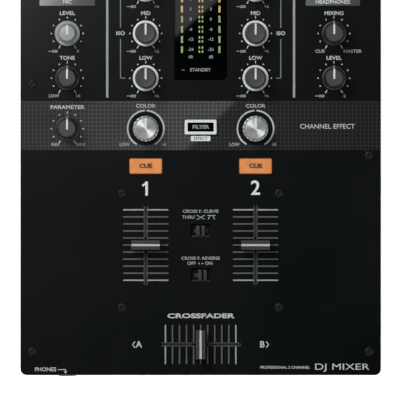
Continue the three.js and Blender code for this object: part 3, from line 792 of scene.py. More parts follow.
def lettering(text, at, height, turn=(0, 0, 0), weight=0.0, width=1.0, align="CENTER"):
    """Raised print, as a mesh."""
    bpy.ops.object.select_all(action="DESELECT")
    bpy.ops.object.text_add(location=Vector(at) * MM, rotation=turn)
    obj = bpy.context.object
    words = obj.data
    words.body = text
    words.size = height * MM / CAPITAL
    words.align_x = align
    words.align_y = "CENTER"
    words.offset = weight * height * MM
    words.extrude = PRINT / 2 * MM
    words.resolution_u = 3
    obj.scale.x = width
    bpy.ops.object.convert(target="MESH")
    bpy.ops.object.transform_apply(location=True, rotation=True, scale=True)
    return bpy.context.object


def printed(text, x, back, height, **style):
    """A word on the panel."""
    return lettering(text, on_panel(x, back, PRINT / 2), height, **style)


def printed_bar(width, depth, x, back, turn=0.0):
    """A straight printed stroke, turned about its own middle."""
    return moved(box("bar", (width, depth, PRINT), (0, 0, PRINT / 2)), on_panel(x, back), turn)


def printed_arc(x, back, inner, outer):
    """A printed ring, open for 60 degrees in front and with a narrow gap behind."""
    section = [(inner, 0), (outer, 0), (outer, PRINT), (inner, PRINT)]
    arc = ring("arc", section, on_panel(x, back), 96)
    wedge = turned("cutter", [(24, -1), (24, 1)], on_panel(x, back - 24), 3)
    gap = box("cutter", (1.3, 4, 2), on_panel(x, back + (inner + outer) / 2))
    return boolean(boolean(arc, wedge), gap)


def knob_scale(centre_dot=False):
    """The marks round a knob, about the point 0, 0 of the panel: dots, and strokes at the ends."""
    marks = []
    for degrees in range(-120, 121, 30):
        angle = math.radians(degrees)
        x, y = SCALE_RADIUS * math.sin(angle), SCALE_RADIUS * math.cos(angle)
        if degrees or centre_dot:
            marks.append(turned("dot", [(0.5, 0), (0.5, PRINT)], on_panel(x, y), 14))
        else:
            marks.append(printed_bar(0.55, 1.7, x, y + 0.1))
    for side in (-1, 1):
        angle = math.radians(150)
        x, y = side * 9.9 * math.sin(angle), 9.9 * math.cos(angle)
        marks.append(printed_bar(0.6, 2.3, x, y, turn=-side * angle))
    return merged("scale", marks)


class MIXER_OT_legends(bpy.types.Operator):
    """Prints the names, scales and lines on the panel"""

    bl_idname = "mixer.legends"
    bl_label = "Legends"

    def execute(self, context):
        height = context.scene.mixer_sizes.label_height / MM
        words, ends = self.knob_words(height)
        for name, parts, ink in (
            ("panel_words", words + self.other_words(), "screen_ink"),
            ("scale_words", ends, "grey_screen_ink"),
            ("switch_words", self.switch_words(), "grey_screen_ink"),
            ("panel_numerals", self.numerals(), "bright_screen_ink"),
            ("knob_scales", self.scales(), "screen_ink"),
            ("end_marks", self.fader_scales((0, 10)), "grey_screen_ink"),
            ("fader_scales", self.fader_scales(range(1, 10)), "faint_screen_ink"),
            ("iso_brackets", self.brackets(), "dim_screen_ink"),
            ("dividing_lines", self.dividers(), "grey_screen_ink"),
            ("filter_arcs", self.arcs(), "screen_ink"),
        ):
            piece(merged(name, parts), ink, "panel_paint", angle=20)
        back = 150.9
        label = box("effect_label", (12.4, 3.2, PRINT), on_panel(0, back, PRINT / 2))
        piece(round_uprights(label, 0.3, 3), "bright_screen_ink", "panel_paint", angle=20)
        word = lettering("EFFECT", on_panel(0, back, PRINT * 1.5), 1.9, weight=0.02)
        piece(merged("effect_label_word", [word]), "dark_ink", "panel_paint", angle=20)
        self.headings()
        return {"FINISHED"}

    def knob_words(self, height):
        """The name over each knob and the words at the two ends of its scale."""
        names = {
            "mic_tone_knob": ("TONE", "LOW", "HI"),
            "mic_level_knob": ("LEVEL", "-inf", "0"),
            "aux_level_knob": ("AUX", "-inf", "0"),
            "phones_level_knob": ("LEVEL", "-inf", "0"),
            "phones_mixing_knob": ("MIXING", "CUE", "MASTER"),
            "booth_level_knob": ("BOOTH", "-inf", "0"),
            "master_level_knob": ("MASTER", "-inf", "0"),
        }
        for channel in (1, 2):
            for band, label in (("low", "LOW"), ("mid", "MID"), ("high", "HI"), ("trim", "TRIM")):
                most = "+9" if band == "trim" else "+6"
                names[f"{band}_knob_{channel}"] = (label, "-inf", most)
        words, ends = [], []
        for name, (label, low, high) in names.items():
            x, back = middle(name).x, back_of(name)
            wide = 1.14 if label == "LEVEL" else 1.06
            words.append(printed(label, x, back + 12.8, height, weight=0.035, width=wide))
            ends += self.end_words(low, high, x, back)
        for channel in (1, 2):
            x, back = middle(f"filter_knob_{channel}").x, back_of(f"filter_knob_{channel}")
            words.append(printed("COLOR", x, 171.6, 2.3, weight=0.02, width=1.1))
            ends += self.end_words("LOW", "HI", x, back + 1.2, reach=4.9)
        words.append(printed("PARAMETER", SIDE_X, 170.8, 2.3, weight=0.035, width=1.22))
        ends += self.end_words("MIN", "MAX", SIDE_X, back + 1.2)
        return words, ends

    def end_words(self, low, high, x, back, reach=0.0):
        """The words at the ends of a scale. A minus and an infinity sign are drawn as strokes."""
        style = {"weight": 0.04, "width": 1.14 if high == "MASTER" else 1.0}
        reach += 0.6 if high in ("MASTER", "0") else 0.0
        right = printed(high, x + 5.5 + reach, back - 11.4, 1.95, align="LEFT", **style)
        if low != "-inf":
            left = printed(low, x - 5.3 - reach, back - 11.4, 1.95, align="RIGHT", **style)
            return [left, right]
        marks = [printed_bar(1.9, 0.45, x - 11.1, back - 11.4)]
        for side in (-1, 1):
            section = [(0.4, 0), (0.9, 0), (0.9, PRINT), (0.4, PRINT)]
            loop = ring("loop", section, on_panel(x - 8.0 + side * 0.92, back - 11.4), 20)
            marks.append(moved(loop, (0, 0, 0.001 * side)))
        return [*marks, right]

    def other_words(self):
        words = [
            printed("CHANNEL EFFECT", 80.8, 158.5, 3.0, weight=0.01),
            printed("CROSSFADER", 0, 37.7, 2.8, weight=0.05, width=1.76),
            printed("A", -39.4, 19.5, 4.0, weight=0.03),
            printed("B", 39.2, 19.5, 4.0, weight=0.03),
            printed("PHONES", -98.9, 3.6, 2.45, weight=0.02, width=1.04),
            printed("PROFESSIONAL 2 CHANNEL", 53.8, 4.9, 1.7, weight=0.02, width=1.04),
            printed("DJ MIXER", 90.0, 5.2, 4.0, weight=0.0, width=1.5),
        ]
        for side in (-1, 1):
            words.append(printed("ISO", side * BRACKET_X, 217.9, 2.3, weight=0.04, width=1.15))
            words.append(printed("LINE", side * CHANNEL_X - 9.4, LEVER_BACK, 1.8, weight=0.02))
            words.append(printed("PHONO", side * CHANNEL_X + 10.6, LEVER_BACK, 1.8, weight=0.02))
        # The chevrons beside A and B, and the line and arrow from PHONES to the jack.
        for side in (-1, 1):
            for slope in (-1, 1):
                words.append(printed_bar(2.6, 0.6, side * 42.6, 19.5 + slope, -side * slope * 0.9))
        words.append(printed_bar(4.6, 0.45, -88.6, 3.6))
        words.append(printed_bar(0.45, 1.5, -86.1, 3.1))
        place, forwards = on_panel(-86.1, 2.0), (0, 0, math.pi)
        return [*words, turned("arrow", [(1.15, 0), (1.15, PRINT)], place, 3, forwards)]

    def switch_words(self):
        """The slide switches' names, the crossing and flat-topped curves, and two small arrows."""
        style = {"weight": 0.03, "width": 1.1}
        words = [
            printed("CROSS F. CURVE", 0, 104.4, 1.95, **style),
            printed("THRU", -7.8, 100.7, 1.95, **style),
            printed("CROSS F. REVERSE", 0, 74.5, 1.95, **style),
            printed("OFF", -5.9, 71.3, 1.95, **style),
            printed("ON", 5.2, 71.3, 1.95, **style),
            printed_bar(5.2, 0.5, 6.9, 101.8),
            printed_bar(4.0, 0.5, 0.1, 100.7, 0.55),
        ]
        for side in (-1, 1):
            words.append(printed_bar(0.5, 2.4, 6.9 + side * 1.5, 100.4, side * 0.5))
            words.append(printed_bar(1.75, 0.5, 0.1 + side * 1.1, 100.7 - side * 0.66, -0.55))
            for back in (99.6, 101.8):
                words.append(printed_bar(0.9, 0.5, 0.1 + side * 2.1, back))
            pointing = (0, 0, -side * math.pi / 2)
            place = on_panel(0.1 + side * 1.05, 71.2)
            words.append(turned("arrow", [(0.8, 0), (0.8, PRINT)], place, 3, pointing))
        return words

    def numerals(self):
        """The channels' numbers; the one is drawn from a stem and a flag."""
        stem = printed_bar(1.55, 9.0, -CHANNEL_X + 0.55, 119)
        flag = printed_bar(3.0, 1.3, -CHANNEL_X - 0.85, 121.6, 0.62)
        return [boolean(stem, flag, "UNION"), printed("2", CHANNEL_X, 119, 9.0, weight=0.02)]

    def scales(self):
        """One set of marks, copied to every knob that has them."""
        with_stroke, with_dot = knob_scale(), knob_scale(centre_dot=True)
        copies = []
        for name in (*KNOBS["plain"], *KNOBS["level"], *KNOBS["ringed"]):
            marks = with_dot if name == "mic_level_knob" else with_stroke
            copies.append(copied(marks, name, (middle(name).x, back_of(name), 0)))
        drop(with_stroke, with_dot)
        return copies

    def fader_scales(self, marks):
        """Some of the eleven strokes over the travel of each fader, broken at its slot."""
        channels, cross = back_of("channel_fader_cap_1"), back_of("crossfader_cap")
        strokes = []
        for half in (-1, 1):
            for step in (4.49 * (i - 5) for i in marks):
                for side in (-1, 1):
                    x = side * CHANNEL_X + half * 7.75
                    strokes.append(printed_bar(13.3, 0.85, x, channels + step))
                strokes.append(printed_bar(0.85, 11.3, step, cross + half * 6.85))
        return strokes

    def brackets(self):
        """A line beside the three equaliser knobs of a channel, broken by its name."""
        low, middle_row, high = (back_of(f"{band}_knob_1") for band in ("low", "mid", "high"))
        strokes = []
        for side in (-1, 1):
            for near, far in ((low, middle_row - 3.6), (middle_row + 3.6, high)):
                strokes.append(printed_bar(0.6, far - near, side * BRACKET_X, (near + far) / 2))
            for back in (low, high):
                strokes.append(printed_bar(3.1, 0.5, side * (BRACKET_X - 1.5), back))
        return strokes

    def dividers(self):
        return [printed_bar(1.45, 126, side * 59.55, 240) for side in (-1, 1)]

    def arcs(self):
        back = back_of("filter_knob_1")
        return [printed_arc(side * CHANNEL_X, back, 11.05, 12.05) for side in (-1, 1)]

    def headings(self):
        """The two shaded headings, with their names."""
        back = 237.9
        for text, x, size, tones in (
            ("MIC", -85.0, 35.4, ("747677", "3c3e40", "0c0d0e")),
            ("HEADPHONES", 84.35, 34.5, ("3e4041", "262728", "0c0d0e")),
        ):
            name = text.lower()
            plate = box(f"{name}_heading", (size, 4.6, PRINT), on_panel(x, back, PRINT / 2))
            plate_ink = heading_ink(f"{name}_heading_ink", x - size / 2, x + size / 2, tones)
            piece(plate, plate_ink, "panel_paint")
            word = lettering(text, on_panel(x, back, PRINT * 1.5), 2.4, weight=0.02)
            word.name = f"{name}_heading_word"
            piece(word, "bright_screen_ink", "panel_paint", angle=20)


# ---- meter ------------------------------------------------------------------------------


class MIXER_OT_meter(bpy.types.Operator):
    """Makes the smoked window with its lamps and numbers"""

    bl_idname = "mixer.meter"
    bl_label = "Level meters"

    ROW = 6.45
    FIRST = 207.6

    def execute(self, context):
        low, high = corners("meter_window")
        size = high - low
        window = box("meter_pane", size, (low + high) / 2)
        round_uprights(window, 0.8, 5)
        soften(window, 0.25, 2, 60)
        # A small angle keeps the pane's face optically flat, so that it mirrors edges straight.
        stand_in(window, "smoked_acrylic", "smoked_window", "meter_window", angle=3)
        self.face = high.z
        self.lamps()
        self.numbers()
        return {"FINISHED"}

    def bar(self, width, depth, x, back):
        return box("lamp", (width, depth, 0.06), (x, FRONT_Y + back, self.face))

    def lamps(self):
        glows = {
            "green": (("55653c", "7c8a5a"), 0.1, range(0, 4)),
            "orange": (("86693a", "a98a58"), 0.12, range(4, 7)),
            "red": (("742c26", "94443a"), 0.12, range(7, 8)),
        }
        for colour, ((dark, light), strength, rows) in glows.items():
            bars = []
            for row in rows:
                back = self.FIRST + self.ROW * row
                bars += [self.bar(1.3, 4.3, x, back) for x in (-11.9, 12)]
                bars += [
                    self.bar(0.95, 1.5, 0.15 + dx, back + dy * 1.3)
                    for dx in (-1, 1) for dy in (-1, 1)
                ]
            lamps = merged(f"meter_lamps_{colour}", bars)
            piece(lamps, lamp(f"{colour}_lamp", dark, light, strength), "smoked_window")
        standby = self.bar(2.0, 0.9, -11.2, 194.6)
        standby.name = "standby_lamp"
        piece(standby, lamp("standby_red_lamp", "3a1018", "5c1c28", 0.1), "smoked_window")

    def numbers(self):
        height = self.face + PRINT / 2
        levels = ["-24", "-12", "-6", "0", "3", "6", "9", "12"]
        words = [("STANDBY", -0.2, 194.6, 2.1)]
        for x in (-6.4, 6.5):
            words.append(("dB", x, 202.9, 1.9))
            for row, level in enumerate(levels):
                words.append((level, x, self.FIRST + self.ROW * row, 1.9))
        made = [
            lettering(text, (x, FRONT_Y + back, height), tall, weight=0.03)
            for text, x, back, tall in words
        ]
        piece(merged("meter_numbers", made), "window_ink", "smoked_window", angle=20)


# ---- knobs ------------------------------------------------------------------------------


def pointer_on(knob, name, width, reach, low):
    """A raised line down a knob from its middle to its rim, by cutting a larger copy."""
    line = copied(knob, name)
    line.data.transform(Matrix.Scale(1.022, 4))
    moved(line, (0, 0, 0.12 - KNOB_TOP * 0.022))
    keep = box("cutter", (width, reach + 0.9, 30), (0, (reach - 0.9) / 2, low + 15))
    return boolean(line, keep, "INTERSECT")


class MIXER_OT_knobs(bpy.types.Operator):
    """Makes the rotary knobs, one of each kind, and puts copies in place"""

    bl_idname = "mixer.knobs"
    bl_label = "Knobs"

    def execute(self, context):
        sizes = context.scene.mixer_sizes
        width = sizes.pointer_width / MM
        kinds = {
            "plain": self.plain(sizes.flute_depth, width),
            "level": self.level(width),
            "ringed": self.ringed(sizes.flute_depth, width),
            "metal": self.metal(width),
        }
        finishes = {
            ("body", "plain"): ("moulded_abs", "black_knob"),
            ("body", "level"): ("light_grey_abs", "silver_knob"),
            ("body", "ringed"): ("soft_touch_grey", "grey_knob"),
            ("body", "metal"): ("turned_aluminium", "brushed_knob"),
            ("ring", "ringed"): ("silver_lacquer", "silver_knob"),
            ("top", "plain"): ("worn_abs", "black_knob"),
            ("top", "metal"): ("spun_aluminium", "brushed_knob"),
        }
        for kind, names in KNOBS.items():
            for name in names:
                at = middle(name)
                place = (at.x, at.y, PANEL_Z)
                stem = name.replace("_knob", "")
                for part, model in kinds[kind].items():
                    made = copied(model, f"{stem}_knob_{part}", place)
                    finish, slot = finishes.get((part, kind), ("pointer_ink", "black_knob"))
                    (stand_in if part == "body" else piece)(made, finish, slot, name, angle=32)
        for parts in kinds.values():
            drop(*parts.values())
        return {"FINISHED"}

    def plain(self, depth, width):
        """A flared skirt under a fluted grip, with a flat cap let into its top."""
        outline = [(3.0, -7.9), (3.0, 1.0), (7.6, 1.0), (7.85, 1.25), (7.85, 2.2)]
        outline += quarter(7.05, 2.2, 0.8, 0, 88, 7)
        outline += [(6.8, 3.2), (6.5, 4.4), (6.3, 7.5), (5.75, 14.6), (5.6, 16.0)]
        outline += quarter(4.95, 16.5, 0.65, 0, 80, 5)
        body = turned("plain_model", outline, sides=144)
        flute(body, 144, 24, depth, 4.2, 15.5)
        cap = turned("plain_cap_model", [(4.9, 16.6), (4.9, 17.2), (4.75, 17.3)], sides=96)
        side = pointer_on(body, "plain_pointer_model", width, 8.0, 1.6)
        line = box("line", (width, 5.6, 0.4), (0, 2.2, 17.26))
        return {"body": body, "top": cap, "pointer": merged("plain_pointer_model", [side, line])}

    def level(self, width):
        """A wide dished skirt under a narrow grip with a domed top."""
        outline = [(3.0, -7.9), (3.0, 1.0), (7.8, 1.0), (8.05, 1.25), (8.05, 2.4)]
        outline += quarter(7.45, 2.4, 0.6, 0, 75, 4)
        outline += [(6.4, 3.5), (5.75, 4.6), (5.5, 6.0), (5.25, 12.0), (5.05, 15.4)]
        outline += quarter(4.15, 15.5, 0.9, 5, 75, 5)
        outline += [(3.4, 16.62), (2.2, 16.88), (0.9, 17.0)]
        body = turned("level_model", outline, sides=120)
        flute(body, 120, 20, 0.03, 4.6, 15.4)
        return {"body": body, "pointer": pointer_on(body, "level_pointer_model", width, 5.6, 8.0)}

    def ringed(self, depth, width):
        """A bright ring round the foot of a dark fluted grip with a dished top."""
        section = [(6.5, 1.0), (8.0, 1.0), (8.25, 1.25), (8.25, 3.0)]
        section += quarter(7.95, 3.1, 0.3, 10, 90, 4)
        section += [(6.95, 3.4), (6.6, 3.1), (6.5, 2.6)]
        outline = [(3.0, -7.9), (3.0, 1.3), (6.35, 1.3), (6.4, 3.6), (6.3, 6.0), (6.05, 15.6)]
        outline += quarter(5.45, 16.2, 0.6, 0, 85, 5)
        outline += [(5.2, 16.72), (4.8, 16.6), (2.6, 16.55), (0.9, 16.53)]
        body = turned("ringed_model", outline, sides=144)
        flute(body, 144, 24, depth, 4.0, 15.6)
        band = ring("ring_model", section, sides=96)
        side = pointer_on(body, "ringed_pointer_model", width, 8.0, 3.0)
        line = box("line", (width, 1.5, 0.5), (0, 7.4, 3.25))
        return {"body": body, "ring": band, "pointer": merged("ringed_pointer_model", [side, line])}

    def metal(self, width):
        """A scalloped aluminium knob with a flat spun top."""
        outline = [(3.0, -7.9), (3.0, 1.0), (8.1, 1.0), (8.3, 1.25), (8.25, 2.6), (6.85, 15.2)]
        outline += [(6.7, 16.0), (6.6, 16.3), (6.5, 16.4)]
        body = turned("metal_model", outline, sides=144)
        flute(body, 144, 18, 0.1, 1.1, 15.2)
        cap = turned("metal_cap_model", [(6.45, 16.2), (6.45, 16.9), (6.35, 17.0)], sides=96)
        line = soften(box("line", (width * 1.4, 7.0, 0.4), (0, 2.9, 17.0)), 0.08, 2)
        side = pointer_on(body, "metal_pointer_model", width * 1.4, 8.4, 1.6)
        return {"body": body, "top": cap, "pointer": merged("metal_pointer_model", [side, line])}


# ---- buttons, switches and faders -------------------------------------------------------


class MIXER_OT_buttons(bpy.types.Operator):
    """Makes the cue buttons and the filter button"""

    bl_idname = "mixer.buttons"
    bl_label = "Buttons"

    def execute(self, context):
        rows = [
            ("cue_button_1", "lit_lens", "lit_button", "CUE", "dark_ink", 2.5),
            ("cue_button_2", "lit_lens", "lit_button", "CUE", "dark_ink", 2.5),
            ("filter_button", "frosted_acrylic", "black_button", "FILTER", "dim_screen_ink", 2.1),
        ]
        for name, finish, slot, text, ink, height in rows:
            low, high = corners(name)
            size = high - low
            at = middle(name)
            key_size = (size.x - 2.8, size.y - 2.8, size.z - 1.8)
            key = box(f"{name}_cap", key_size, (at.x, at.y, high.z - key_size[2] / 2))
            round_uprights(key, 0.8, 5)
            bevel(key, 0.5, 4, lambda centre, along: centre.z > high.z - 0.01)
            skirt = box("skirt", (size.x, size.y, 1.8), (at.x, at.y, low.z + 0.9))
            stand_in(boolean(key, skirt, "UNION"), finish, slot, name)
            word = lettering(text, (at.x, at.y, high.z + 3 * PRINT), height, weight=0.09, width=1.2)
            word.name = f"{name}_word"
            piece(word, ink, slot, name, angle=20)
        at = middle("filter_button")
        place = (at.x, at.y, top("filter_button") - 0.05)
        plate = box("filter_button_plate", (16.7, 5.8, 0.3), place)
        plate = soften(round_uprights(plate, 0.5, 4), 0.06, 2)
        piece(plate, "smoked_acrylic", "black_button", "filter_button")
        return {"FINISHED"}


class MIXER_OT_switches(bpy.types.Operator):
    """Makes the slide switch knobs and the input selector levers"""

    bl_idname = "mixer.switches"
    bl_label = "Switches"

    def execute(self, context):
        for name in ("curve_switch_knob", "reverse_switch_knob"):
            low, high = corners(name)
            at = middle(name)
            size = high - low
            thumb = box(f"{name}_cap", (size.x, size.y, 2.4), (at.x, at.y, high.z - 1.2))
            boolean(thumb, box("cutter", (1.3, size.y + 1, 3.4), (at.x + 0.1, at.y, high.z)))
            soften(thumb, 0.2, 2)
            # A stem joins the thumb to a slider that closes the opening of the seat at every place.
            for part, sizes, height in (
                ("stem", (2, 2.4, 3), high.z - 3.2),
                ("slider", (16.4, 4.6, 0.24), PANEL_UNDER - 1.76),
            ):
                boolean(thumb, box(part, sizes, (at.x, at.y, height)), "UNION")
            stand_in(thumb, "switch_abs", "black_button", name)
            # A near-black sheet on the floor of the groove between the thumb's ribs is painted
            # shade.
            place = (at.x + 0.1, at.y, high.z - 1.62)
            floor = soften(box(f"{name}_groove", (1.26, size.y - 0.5, 0.2), place), 0.05, 1)
            piece(floor, "black_nylon_painted_shade", "black_button", name)
            # The seat under the opening is the switch's own black, deepened into painted shade of
            # the recess.
            seat = box(f"{name}_seat", (15.6, 11.4, 0.6), (0, at.y, PANEL_UNDER - 0.9))
            opening = box("cutter", (9.2, 3.0, 2), (0, at.y, PANEL_UNDER - 0.9))
            piece(boolean(seat, opening), "black_nylon_painted_shade", "black_button")
            # A sill along the front edge of the opening catches the light.
            sill = box(f"{name}_sill", (11.8, 0.85, 1.6), (0, at.y - 3.78, PANEL_UNDER + 0.2))
            piece(soften(sill, 0.15, 2), "moulded_abs", "black_button")
        for channel, side in ((1, -1), (2, 1)):
            self.lever(f"input_lever_{channel}", side * CHANNEL_X)
        return {"FINISHED"}

    def lever(self, name, x):
        outline = [(0.9, -1.8), (1.25, -1.4), (1.3, 8.6), (1.45, 10.4), (1.9, 13.0)]
        outline += [(2.15, 15.4), (2.15, 16.6)] + quarter(1.25, 16.9, 0.9, 0, 80, 5) + [(0.4, 18.1)]
        bat = turned(f"{name}_bat", outline, sides=40)
        moved(bat, on_panel(x, LEVER_BACK, -7.0), math.radians(-12), "Y")
        stand_in(bat, "nickel_plate", "bright_nickel", name)


class MIXER_OT_faders(bpy.types.Operator):
    """Makes the ribbed fader caps with their white lines"""

    bl_idname = "mixer.faders"
    bl_label = "Fader caps"

    LENGTH = 18.7
    TOP = 13.55
    BOTTOM = 3.4

    def execute(self, context):
        cap, line = self.cap()
        for name, turn in (
            ("channel_fader_cap_1", 0), ("channel_fader_cap_2", 0), ("crossfader_cap", math.pi / 2),
        ):
            at = middle(name)
            place = (at.x, at.y, PANEL_Z)
            stand_in(copied(cap, f"{name}_grip", place, turn), "cap_abs", "fader_cap", name)
            piece(copied(line, f"{name}_line", place, turn), "cap_line_ink", "fader_cap", name)
        drop(cap, line)
        return {"FINISHED"}

    def cap(self):
        """A cap along X: a broad foot, sides ribbed across, and a step on each side of its top."""
        tall = self.TOP - self.BOTTOM
        cap = box("cap_model", (self.LENGTH, 6.4, tall), (0, 0, self.BOTTOM + tall / 2))
        levels = [self.BOTTOM + 2.0 + 0.75 * i for i in range(10)]
        activate(cap)
        bpy.ops.object.mode_set(mode="EDIT")
        cuts = [((0, 0, level), (0, 0, 1)) for level in levels]
        cuts += [((0, y, 0), (0, 1, 0)) for y in (-0.75, 0.75, -1.25, 1.25)]
        for place, across in cuts:
            bpy.ops.mesh.select_all(action="SELECT")
            bpy.ops.mesh.bisect(plane_co=Vector(place) * MM, plane_no=across)
        leave_edit()
        span = levels[-1] - levels[0]
        for i, level in enumerate([*levels, self.TOP]):
            share = min(1.0, max(0.0, (level - levels[0]) / span))
            narrow = 1 - 0.08 * share - (0.045 if i % 2 else 0.0) * (level < self.TOP)
            pick(cap, "EDGE", lambda at, along: abs(at.z - level) < 0.01 and abs(along.z) < 0.1)
            bpy.ops.transform.resize(value=(1 - 0.03 * share, narrow, 1), center_override=(0, 0, 0))
            leave_edit()
        pick(cap, "FACE", lambda at, normal: normal.z > 0.9 and abs(at.y) > 1.25 and at.z > 13)
        bpy.ops.transform.translate(value=(0, 0, -0.45 * MM))
        leave_edit()
        soften(cap, 0.14, 2, 35)
        line = soften(box("line_model", (18.2, 1.4, 0.6), (0, 0, self.TOP + 0.1)), 0.12, 2)
        return cap, line


# ---- fasteners, feet and jacks ----------------------------------------------------------


def screw_model(radius=2.9, high=1.3):
    """A pan-head screw with a cross recess, standing on height 0."""
    outline = [(1.5, -2.5), (1.5, 0.0), (radius, 0.0), (radius, high * 0.45)]
    outline += [(radius * 0.93, high * 0.74), (radius * 0.74, high * 0.93), (radius * 0.45, high)]
    head = turned("screw_model", outline, sides=40)
    for turn in (0, math.pi / 2):
        arm = box("cutter", (radius * 1.05, radius * 0.24, 1.8), (0, 0, high))
        boolean(head, moved(arm, turn=turn))
    return soften(head, 0.06, 2, 50)


class MIXER_OT_screws(bpy.types.Operator):
    """Puts the screws in the panel, the rear and the underside"""

    bl_idname = "mixer.screws"
    bl_label = "Screws"

    def execute(self, context):
        screw = screw_model()
        on_top = [
            copied(screw, "screw", on_panel(x, back), 0.6 * i)
            for i, (x, back) in enumerate(PANEL_SCREWS)
        ]
        small = moved(screw_model(2.4, 1.0), turn=-math.pi / 2, axis="X")
        places = [(side * 106, z) for side in (-1, 1) for z in (82, 14)]
        places += [(-20, 80), (52, 80), (40, 14), (-67, 14)]
        on_rear = [copied(small, "screw", (x, REAR_Y, z)) for x, z in places]
        for node_name in ("balanced_output_left", "balanced_output_right", "microphone_jack"):
            at = middle(node_name)
            for side in (-1, 1):
                place = (at.x + side * 9.6, rear(node_name), at.z - side * 12.0)
                on_rear.append(copied(small, "screw", place))
        at = middle("mains_inlet")
        for side in (-1, 1):
            on_rear.append(copied(small, "screw", (at.x + side * 20, rear("mains_inlet"), at.z)))
        moved(screw, turn=math.pi, axis="X")
        places = [(x, back) for x in (-100, 100) for back in (60, 155, 250)] + [(0, 20), (0, 290)]
        under = [copied(screw, "screw", (x, FRONT_Y + back, CASE_LOW.z)) for x, back in places]
        for name, screws in (
            ("panel_screws", on_top), ("rear_screws", on_rear), ("under_screws", under),
        ):
            piece(merged(name, screws), "black_screw_steel", "case_paint")
        drop(small, screw)
        return {"FINISHED"}


class MIXER_OT_feet(bpy.types.Operator):
    """Makes the four rubber feet"""

    bl_idname = "mixer.feet"
    bl_label = "Feet"

    def execute(self, context):
        tall = CASE_LOW.z
        outline = [(4.0, 2.4), (4.2, 2.2), (4.2, 0.4), (4.6, 0.0), (8.9, 0.0), (9.6, 0.25)]
        outline += [(10.1, 0.9), (10.5, 3.2), (10.3, 3.5), (10.5, 3.8)]
        outline += [(11.2, tall - 0.6), (11.4, tall)]
        foot = turned("foot_model", outline, sides=72)
        screw = screw_model(3.0, 1.2)
        moved(screw, (0, 0, 2.4), math.pi, "X")
        for end in ("front", "rear"):
            for side in ("left", "right"):
                name = f"foot_{end}_{side}"
                at = middle(name)
                pad = copied(foot, f"{name}_pad", (at.x, at.y, 0))
                stand_in(pad, "foot_rubber", "rubber_foot", name)
                pin = copied(screw, f"{name}_screw", (at.x, at.y, 0))
                piece(pin, "black_screw_steel", "case_paint", name)
        drop(foot, screw)
        return {"FINISHED"}


class MIXER_OT_front_jacks(bpy.types.Operator):
    """Makes the headphone jacks in the front face"""

    bl_idname = "mixer.front_jacks"
    bl_label = "Front jacks"

    def execute(self, context):
        nut_at = middle("headphone_jack_nut")
        place = (nut_at.x, corners("headphone_jack_nut")[0].y, nut_at.z)
        section = [(4.6, -1.0), (5.5, -1.0), (5.6, -0.9), (5.6, -0.3), (5.3, 0.0)]
        section += [(4.8, 0.0), (4.6, -0.2)]
        nut = ring("headphone_nut_ring", section, place, 48, TO_FRONT)
        stand_in(nut, "moulded_nylon", "black_jack", "headphone_jack_nut")
        outline = [(3.35, -24), (3.35, -0.6), (3.6, -0.2), (4.1, -0.2), (4.3, -0.45), (4.3, -2.6)]
        outline += [(7.4, -2.6), (7.4, -28)]
        barrel = turned("headphone_jack_barrel", outline, place, 48, TO_FRONT)
        stand_in(barrel, "moulded_nylon", "black_jack", "headphone_jack")
        mini = middle("headphone_mini_jack")
        outline = [(1.8, -13), (1.8, -0.35), (2.1, -0.05), (3.6, -0.05), (3.8, -0.25), (3.8, -1.5)]
        outline += [(4.4, -1.5), (4.4, -15.4)]
        small = turned("headphone_mini_barrel", outline, (mini.x, FRONT_Y, nut_at.z), 40, TO_FRONT)
        stand_in(small, "moulded_nylon", "black_jack", "headphone_mini_jack")
        return {"FINISHED"}


